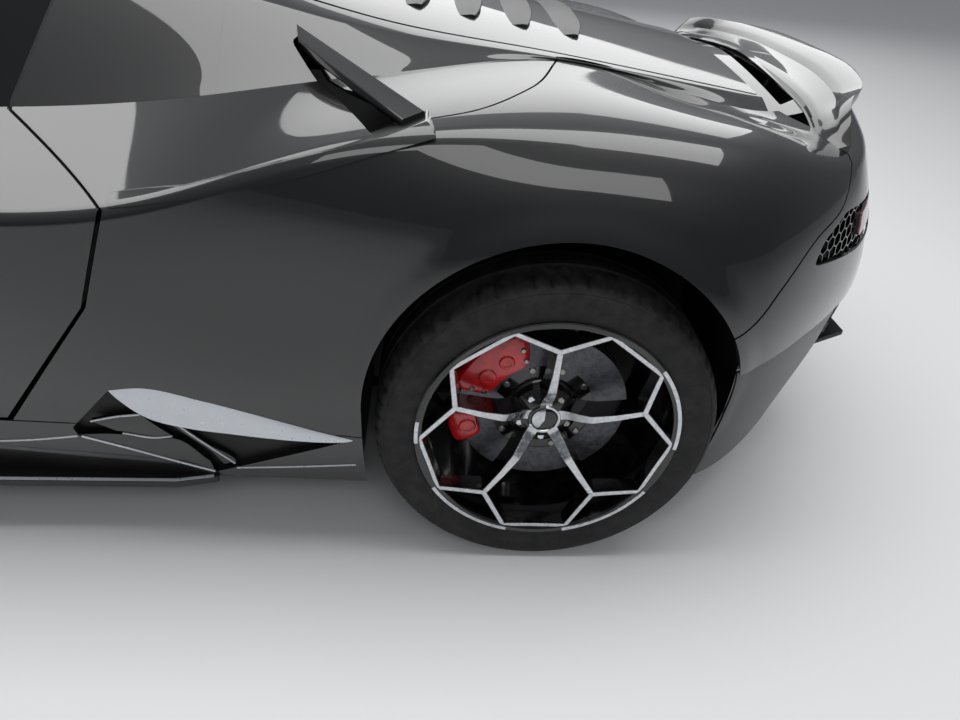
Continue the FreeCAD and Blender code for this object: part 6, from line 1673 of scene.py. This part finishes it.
base_pad = cushion([(-20, 350), (-120, 374), (-280, 388), (-376, 396)], [156, 166, 164, 150], 14, 36,
                   channels=(0.3, 0.62))
back_pad = cushion([(-426, 434), (-436, 520), (-448, 640), (-464, 815)], [142, 158, 158, 122], 14, 26,
                   channels=(0.28, 0.54, 0.8))
head_pad = cushion([(-474, 826), (-484, 880), (-494, 922)], [104, 98, 84], 11, 10, 18)
PADS = [("base", base_pad, suede, 0.7), ("back", back_pad, suede, 0.7), ("head", head_pad, leather, 0.8)]
SHELL_SIDE = [(-14, 322), (-120, 322), (-330, 322), (-420, 350), (-474, 470), (-512, 680), (-536, 880),
              (-522, 926)]
SHELL_HALVES = ([0, 0.25, 0.5, 0.8, 0.93, 1], [196, 214, 216, 206, 168, 120])
WING_RISES = ([0, 0.2, 0.45, 0.75, 0.93, 1], [22, 60, 78, 74, 34, 12])
shell_line = evenly(SHELL_SIDE, 40)
last = len(shell_line) - 1
shell_rings = []
for k, (x, z) in enumerate(shell_line):
    t = k / last
    half = np.interp(t, *SHELL_HALVES)
    way = np.array(shell_line[min(k + 1, last)]) - np.array(shell_line[max(k - 1, 0)])
    n = np.array([-way[1], way[0]]) / np.linalg.norm(way)
    n = n if n[1] > 0 or t > 0.5 else -n
    if t > 0.5 and n[0] < 0:
        n = -n
    wing_rise = np.interp(t, *WING_RISES)
    ring = []
    for s in np.linspace(-1, 1, 25):
        rise = 6 + wing_rise * abs(s) ** 5
        ring.append((x + n[0] * rise, SEAT_Y + half * s, z + n[1] * rise))
    for s in np.linspace(1, -1, 25):
        rise = -8 + (wing_rise - 6) * abs(s) ** 7
        ring.append((x + n[0] * rise, SEAT_Y + (half + 3) * s, z + n[1] * rise))
    shell_rings.append(ring)
seat_shell = loft(shell_rings)
seat_foot = rounded_box((-460, SEAT_Y - 176, 171), (-70, SEAT_Y + 176, 300), 14, 3)
piece("seat_shells", "chassis", joined(seat_shell, seat_foot), leather, ["seats"],
      both=True, smooth=50)
for name, solid, material, fill in PADS:
    for side, shape in (("left", solid), ("right", mirrored(solid))):
        pad = to_object(f"seat_{name}_pad_{side}", *shape, material, smooth_angle=60)
        placed(pad, "chassis")

# Steering wheel: a flat-bottomed leather rim on three spokes
WHEEL_CENTRE, WHEEL_TILT = np.array([428.0, 362.0, 700.0]), math.radians(24)
WHEEL_RADIUS, WHEEL_FLAT, GRIP_RADIUS = 176, -142, 15
WHEEL_SPOKES = [(40, 6, 164, 14, 17), (-40, 6, -164, 14, 17), (0, -30, 0, -132, 13)]  # both ends, half width


def on_wheel(u, v, w=0.0):
    """A point in the steering wheel's plane: u to the left, v up, w towards the driver."""
    back = np.array([-math.cos(WHEEL_TILT), 0, math.sin(WHEEL_TILT)])
    top = np.array([math.sin(WHEEL_TILT), 0, math.cos(WHEEL_TILT)])
    return tuple(WHEEL_CENTRE + np.array([0, 1, 0]) * u + top * v + back * w)


rim_line = []
for a in np.linspace(0, 2 * math.pi, 73)[:-1]:
    u, v = WHEEL_RADIUS * math.sin(a), WHEEL_RADIUS * math.cos(a)
    rim_line.append((u, max(v, WHEEL_FLAT - 0.06 * abs(u))))
rim_rings = []
round_grip = np.linspace(0, 2 * math.pi, 15)[:-1]
for u, v in rim_line:
    r = math.hypot(u, v)
    grip = GRIP_RADIUS + 1.6 * math.exp(-((abs(math.atan2(u, v)) - 1.15) / 0.3) ** 2)
    du, dv = u / r * grip, v / r * grip
    rim_rings.append([
        on_wheel(u + du * math.cos(b), v + dv * math.cos(b), grip * math.sin(b)) for b in round_grip
    ])
wheel_groups = [(*loft(rim_rings, loop=True), leather)]
for u0, v0, u1, v1, half in WHEEL_SPOKES:
    way = np.array([u1 - u0, v1 - v0]) / math.hypot(u1 - u0, v1 - v0)
    side = np.array([-way[1], way[0]])
    rings = []
    for t, h in ((0, half + 10), (0.35, half), (0.7, half - 3), (1, half + 4)):
        c = np.array([u0, v0]) + np.array([u1 - u0, v1 - v0]) * t
        rings.append([on_wheel(*(c + side * s), w) for s, w in ((-h, -5), (h, -5), (h - 3, 6), (-h + 3, 6))])
    wheel_groups.append((*loft(rings), pale_trim_and_highlight))
hub_outline = rounded([(-56, 30), (56, 30), (46, -40), (-46, -40)], 22, 6)
wheel_groups.append((*loft([[on_wheel(u * s, v * s, w) for u, v in hub_outline]
                            for s, w in ((1.0, -30), (1.0, 8), (0.94, 16), (0.8, 20))]), leather))
wheel_groups.append((*tube([on_wheel(0, 0, w) for w in (-30, -80, -140, -186)], 27, 24), grained))
put_together("steering_wheel_trim", wheel_groups, ORIGIN, False, "chassis", ["steering_wheel"],
             45)

# Dashboard: a padded cowl over a lower panel, with an instrument hood, vents and a raised console
DASH_WIDTH = [  # y, share of the pull
    (-634, 1), (-560, 0.3), (-300, 0), (0, 0.15), (300, 0), (560, 0.3), (634, 1),
]
VENTS_Y = (-520, -90, 90, 520)
CONSOLE = [  # x, top z, lean of the sides
    (-574, 418, 14), (-300, 416, 16), (100, 416, 16), (330, 420, 18),
    (408, 424, 20), (560, 600, 24), (640, 634, 26),
]
dash_line = rounded([(865, 482), (772, 474), (570, 622), (541, 700), (626, 756), (865, 704)], 26, 6)
dash = loft([[(x + pull * (868 - x) * 0.12, y, z - pull * 16 * (z > 600)) for x, z in dash_line]
             for y, pull in DASH_WIDTH])
down_column = np.array(on_wheel(0, 0, -1)) - np.array(on_wheel(0, 0, 0))
column_way = cylinder(on_wheel(0, 0, -60), down_column, 31, 160, 32)
dash = combined(dash, [("DIFFERENCE", column_way)])
vents = []
for y in VENTS_Y:
    frame_line = rounded([(y - 52, 668), (y + 52, 668), (y + 44, 696), (y - 44, 696)], 8)
    vents.append((*prism([tuple(p) for p in frame_line], "x", 541, 580), piano))
    vents += [(*rounded_box((538.6, y - 40, z), (542, y + 40, z + 2.4), 0.6), grained)
              for z in (673, 679, 685, 691)]
screen_box = prism([(558, 706), (618, 746), (614, 752), (554, 712)], "y", SEAT_Y - 125, SEAT_Y + 125)
console_rings = []
for x, top, lean in CONSOLE:
    ring = rounded([(-94, 331), (94, 331), (94 - lean, top), (-94 + lean, top)], 18, 5)
    console_rings.append([(x, y, z) for y, z in ring])
console = loft(console_rings)
put_together("dashboard_trim", [(*dash, leather), (*console, leather), (*screen_box, piano)] + vents,
             ORIGIN, False, "chassis", ["dashboard"], 40)

# Engine lid: slats down its middle, and wipers at the windscreen's foot
SLATS, FIRST_SLAT_X, SLAT_PITCH, SLAT_HALF = 6, -800, 118, 330
WIPERS = [(60, 520), (-420, 20)]  # y of both ends
WIPER_X = 905


def skin_height(x, y):
    """The height of the roof and deck's skin over (x, y)."""
    return float(upper_skin.tree.ray_cast(Vector((x, y, 2000)), Vector((0, 0, -1)))[0][2])


slat_parts = []
for k in range(SLATS):
    x = FIRST_SLAT_X - SLAT_PITCH * k
    half = SLAT_HALF - 8 * k
    rings = []
    for y in np.linspace(-half, half, 21):
        z = skin_height(x, max(min(y, 430), -430))
        taper = 1 - 0.5 * abs(y / half) ** 4
        rings.append([
            (x + 40 * taper, y, z + 0.2), (x - 12, y, z + 9 * taper), (x - 44 * taper, y, z + 7 * taper),
            (x - 46 * taper, y, z + 4 * taper), (x - 30 * taper, y, z - 2.5), (x + 36 * taper, y, z - 3),
        ])
    slat_parts.append(loft(rings))
piece("engine_lid_slats", "engine_lid", joined(*slat_parts), satin, smooth=30)

wiper_parts = []
for y0, y1 in WIPERS:
    arm = []
    for t in np.linspace(0, 1, 14):
        bow = math.sin(t * math.pi)
        x, y = WIPER_X - 8 * bow, y0 + (y1 - y0) * t
        arm.append((x, y, skin_height(x, y) + 9 + 5 * bow))
    wiper_parts.append((*tube(arm, 4.5, 8), grained))
    blade_line = [(x - 14, y, z - 6) for x, y, z in arm[2:]]
    blade = loft([[(x - 5, y, z + 4), (x + 5, y, z + 4), (x + 1.2, y, z - 3), (x - 1.2, y, z - 3)]
                  for x, y, z in blade_line])
    wiper_parts.append((*blade, rubber))
put_together("wipers", wiper_parts, ORIGIN, False, "chassis", [], 40)

# Tray between the roof's rear edge and the engine lid
piece("rear_tray", "chassis", rounded_box((-640, -452, 1002), (-568, 452, 1009), 2), grained)

# Finishes of the solids that stay
KEEP = {
    "arch_liners": grained, "underfloor": grained, "luggage_well": grained, "cowl": grained,
    "grilles": grained, "diffuser": satin, "tub": twill, "half_shafts": zinc,
    "engine_block": cast, "suspension_arms": cast, "rear_knuckles": cast,
    "knuckle_front_left": cast, "knuckle_front_right": cast,
}
for name, material in KEEP.items():
    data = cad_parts[name].data
    data.materials.clear()
    data.materials.append(material)

# Floor, lights and camera, in metres
FLOOR_REACH = 40
WORLD_STRENGTH = 0.36
CAMERA_PLACE = (-1.086, 2.040, 1.254)
SENSOR_MM, LENS_MM = 36, 27.04
floor_mesh = bpy.data.meshes.new("floor")
r = FLOOR_REACH
floor_mesh.from_pydata([(-r, -r, 0), (r, -r, 0), (r, r, 0), (-r, r, 0)], [], [(0, 1, 2, 3)])
floor = bpy.data.objects.new("floor", floor_mesh)
scene.collection.objects.link(floor)
pale, tree, shader = finish_of("pale_floor", "D5D6D7", 0.6)
floor_mesh.materials.append(pale)

world = bpy.data.worlds.new("studio")
scene.world = world
world.use_nodes = True
tree = world.node_tree
background = tree.nodes["Background"]
background.inputs["Strength"].default_value = WORLD_STRENGTH
sky = add(tree, "TexCoord")
up = add(tree, "SeparateXYZ", Vector=sky.outputs["Generated"])
shade = add(tree, "ValToRGB", Fac=vary(tree, up.outputs["Z"], 0.0, 1.0, -0.1, 0.9))
shade.color_ramp.elements[0].color = from_hex("777B81")
shade.color_ramp.elements[1].color = from_hex("F4F7FC")
tree.links.new(shade.outputs["Color"], background.inputs["Color"])

LIGHTS = [  # name, place, target, size, power
    ("key", (-1.5, 6.5, 5.5), (-1.0, 0.9, 0.4), (6.0, 2.6), 120),
    ("top", (-0.5, 0.3, 5.5), (-0.5, 0.0, 0.0), (8.5, 3.2), 330),
    ("far", (-1.0, -6.5, 4.2), (-0.8, 0.0, 0.7), (10.0, 3.2), 190),
]
for name, place, target, (width, height), power in LIGHTS:
    data = bpy.data.lights.new(name, "AREA")
    data.shape, data.size, data.size_y, data.energy = "RECTANGLE", width, height, power
    lamp = bpy.data.objects.new(name, data)
    lamp.location = place
    lamp.rotation_mode = "QUATERNION"
    lamp.rotation_quaternion = (Vector(target) - Vector(place)).to_track_quat("-Z", "Y")
    scene.collection.objects.link(lamp)

YAW, PITCH, ROLL = math.radians(-5.5), math.radians(33.5), math.radians(5.0)
ahead = Vector((math.sin(YAW) * math.cos(PITCH), -math.cos(YAW) * math.cos(PITCH), -math.sin(PITCH)))
right = ahead.cross(Vector((0, 0, 1))).normalized()
upward = right.cross(ahead)
right, upward = (math.cos(ROLL) * right + math.sin(ROLL) * upward,
                 -math.sin(ROLL) * right + math.cos(ROLL) * upward)
camera_data = bpy.data.cameras.new("camera")
camera_data.sensor_width, camera_data.lens = SENSOR_MM, LENS_MM
camera = bpy.data.objects.new("camera", camera_data)
turn = Matrix((right, upward, -ahead)).transposed().to_4x4()
camera.matrix_world = Matrix.Translation(CAMERA_PLACE) @ turn
scene.collection.objects.link(camera)
scene.camera = camera
scene.view_settings.view_transform = "Standard"
